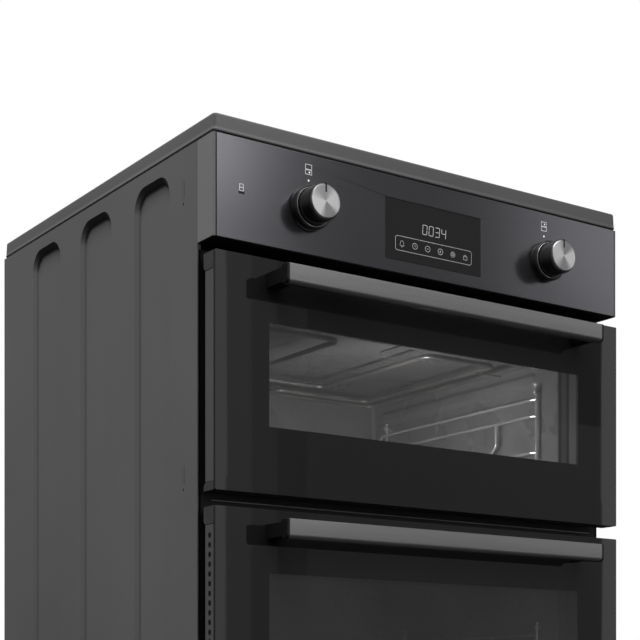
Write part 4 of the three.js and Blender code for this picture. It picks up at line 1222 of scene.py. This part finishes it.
grill = {"tube": 3.2, "gap": 28.0, "bend": 13.0, "drop": 14.0, "middleX": 68.0, "middleDeep": 52.0,
         "tailX": 24.0, "clipHalf": 22.0}


def grillPiece():
    # one tube: an outer loop, an inner loop and a bay in the middle, with both tails through the back
    x0, x1, s0, s1, z0, z1 = limits("grill_element")
    r, gap, tail = grill["tube"], grill["gap"], grill["tailX"]
    z = z1 - r
    outerX, outerNear, outerFar = x1 - r, s0 + r, s1 - 22.0 - gap
    innerX, innerNear, innerFar = outerX - gap, outerNear + gap, outerFar - gap
    bayX, bay = grill["middleX"], innerFar - grill["middleDeep"]
    flat = [(-tail, s1), (-tail, outerFar), (-outerX, outerFar), (-outerX, outerNear), (outerX, outerNear),
            (outerX, outerFar), (tail, outerFar), (tail, innerFar), (innerX, innerFar), (innerX, innerNear),
            (bayX, innerNear), (bayX, bay), (-bayX, bay), (-bayX, innerNear), (-innerX, innerNear),
            (-innerX, innerFar), (-52, innerFar)]
    corners = [(x, s, z) for x, s in flat] + [(-52, s, z - grill["drop"]) for s in (innerFar, s1)]
    meshes = [bentWire(corners, r, grill["bend"], wireTube, 12, 7)]
    half = grill["clipHalf"]
    clips = ((-outerX + 14, outerNear + 60, half, 0), (outerX - 14, outerNear + 60, half, 0),
             (0, outerNear + 14, 0, half), (0, innerFar + 14, 0, half))
    for x, s, alongX, alongS in clips:
        strip = [(x + side * alongX, s + side * alongS, z - r - 0.5) for side in (-1, 1)]
        meshes.append(bentWire(strip, 1.2, 0.0, wireTube, 8))
    makePiece("grill_heater", joinMeshes(meshes), [wireTube], "cabinet", ["grill_element"],
              sharp=60)


for ovenName in ("top", "main"):
    linerPiece(ovenName)
    for sideLabel, sideSign in (("left", -1), ("right", 1)):
        rackPieces(ovenName, sideLabel, sideSign)
    shelfPiece(ovenName)
grillPiece()
print("ovens ready")


# The rest keeps its solid and takes a finish

kept = {zincSheet: "base_tray rear_panel blower_housing", blackEnamel: "plinth", deepBlack: "front_frame",
        blackPlastic: "terminal_box foot_front_left foot_front_right foot_rear_left foot_rear_right",
        motorSteel: "element_tray fan_motor fan_rotor blower_rotor", boardGreen: "control_board",
        creamPlastic: "selector_switch_left selector_switch_right", wool: "insulation",
        wireTube: "ring_element", fanEnamel: "fan_cover", lampPane: "top_lamp main_lamp",
        sealBlack: "top_door_seal main_door_seal", innerPane: "top_door_inner_glass main_door_inner_glass",
        hingeSteel: "top_hinge_left top_hinge_right main_hinge_left main_hinge_right"}
for finish, nodes in kept.items():
    for node in nodes.split():
        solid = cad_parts[node]
        solid.data.materials.clear()
        solid.data.materials.append(finish)

# oven light: (x, s, z), (target), size, power
ovenLights = {"ovenBack": ((-60, 250, 600), (60, 380, 640), 0.16, 0.06),
              "ovenFront": ((10, 110, 570), (222, 240, 660), 0.05, 0.58)}
for lightName, (spot, aim, size, power) in ovenLights.items():
    inside = softbox(lightName, place(*spot), (size, size), place(*aim), 1.0)
    inside.data.energy = power
print("pieces done")
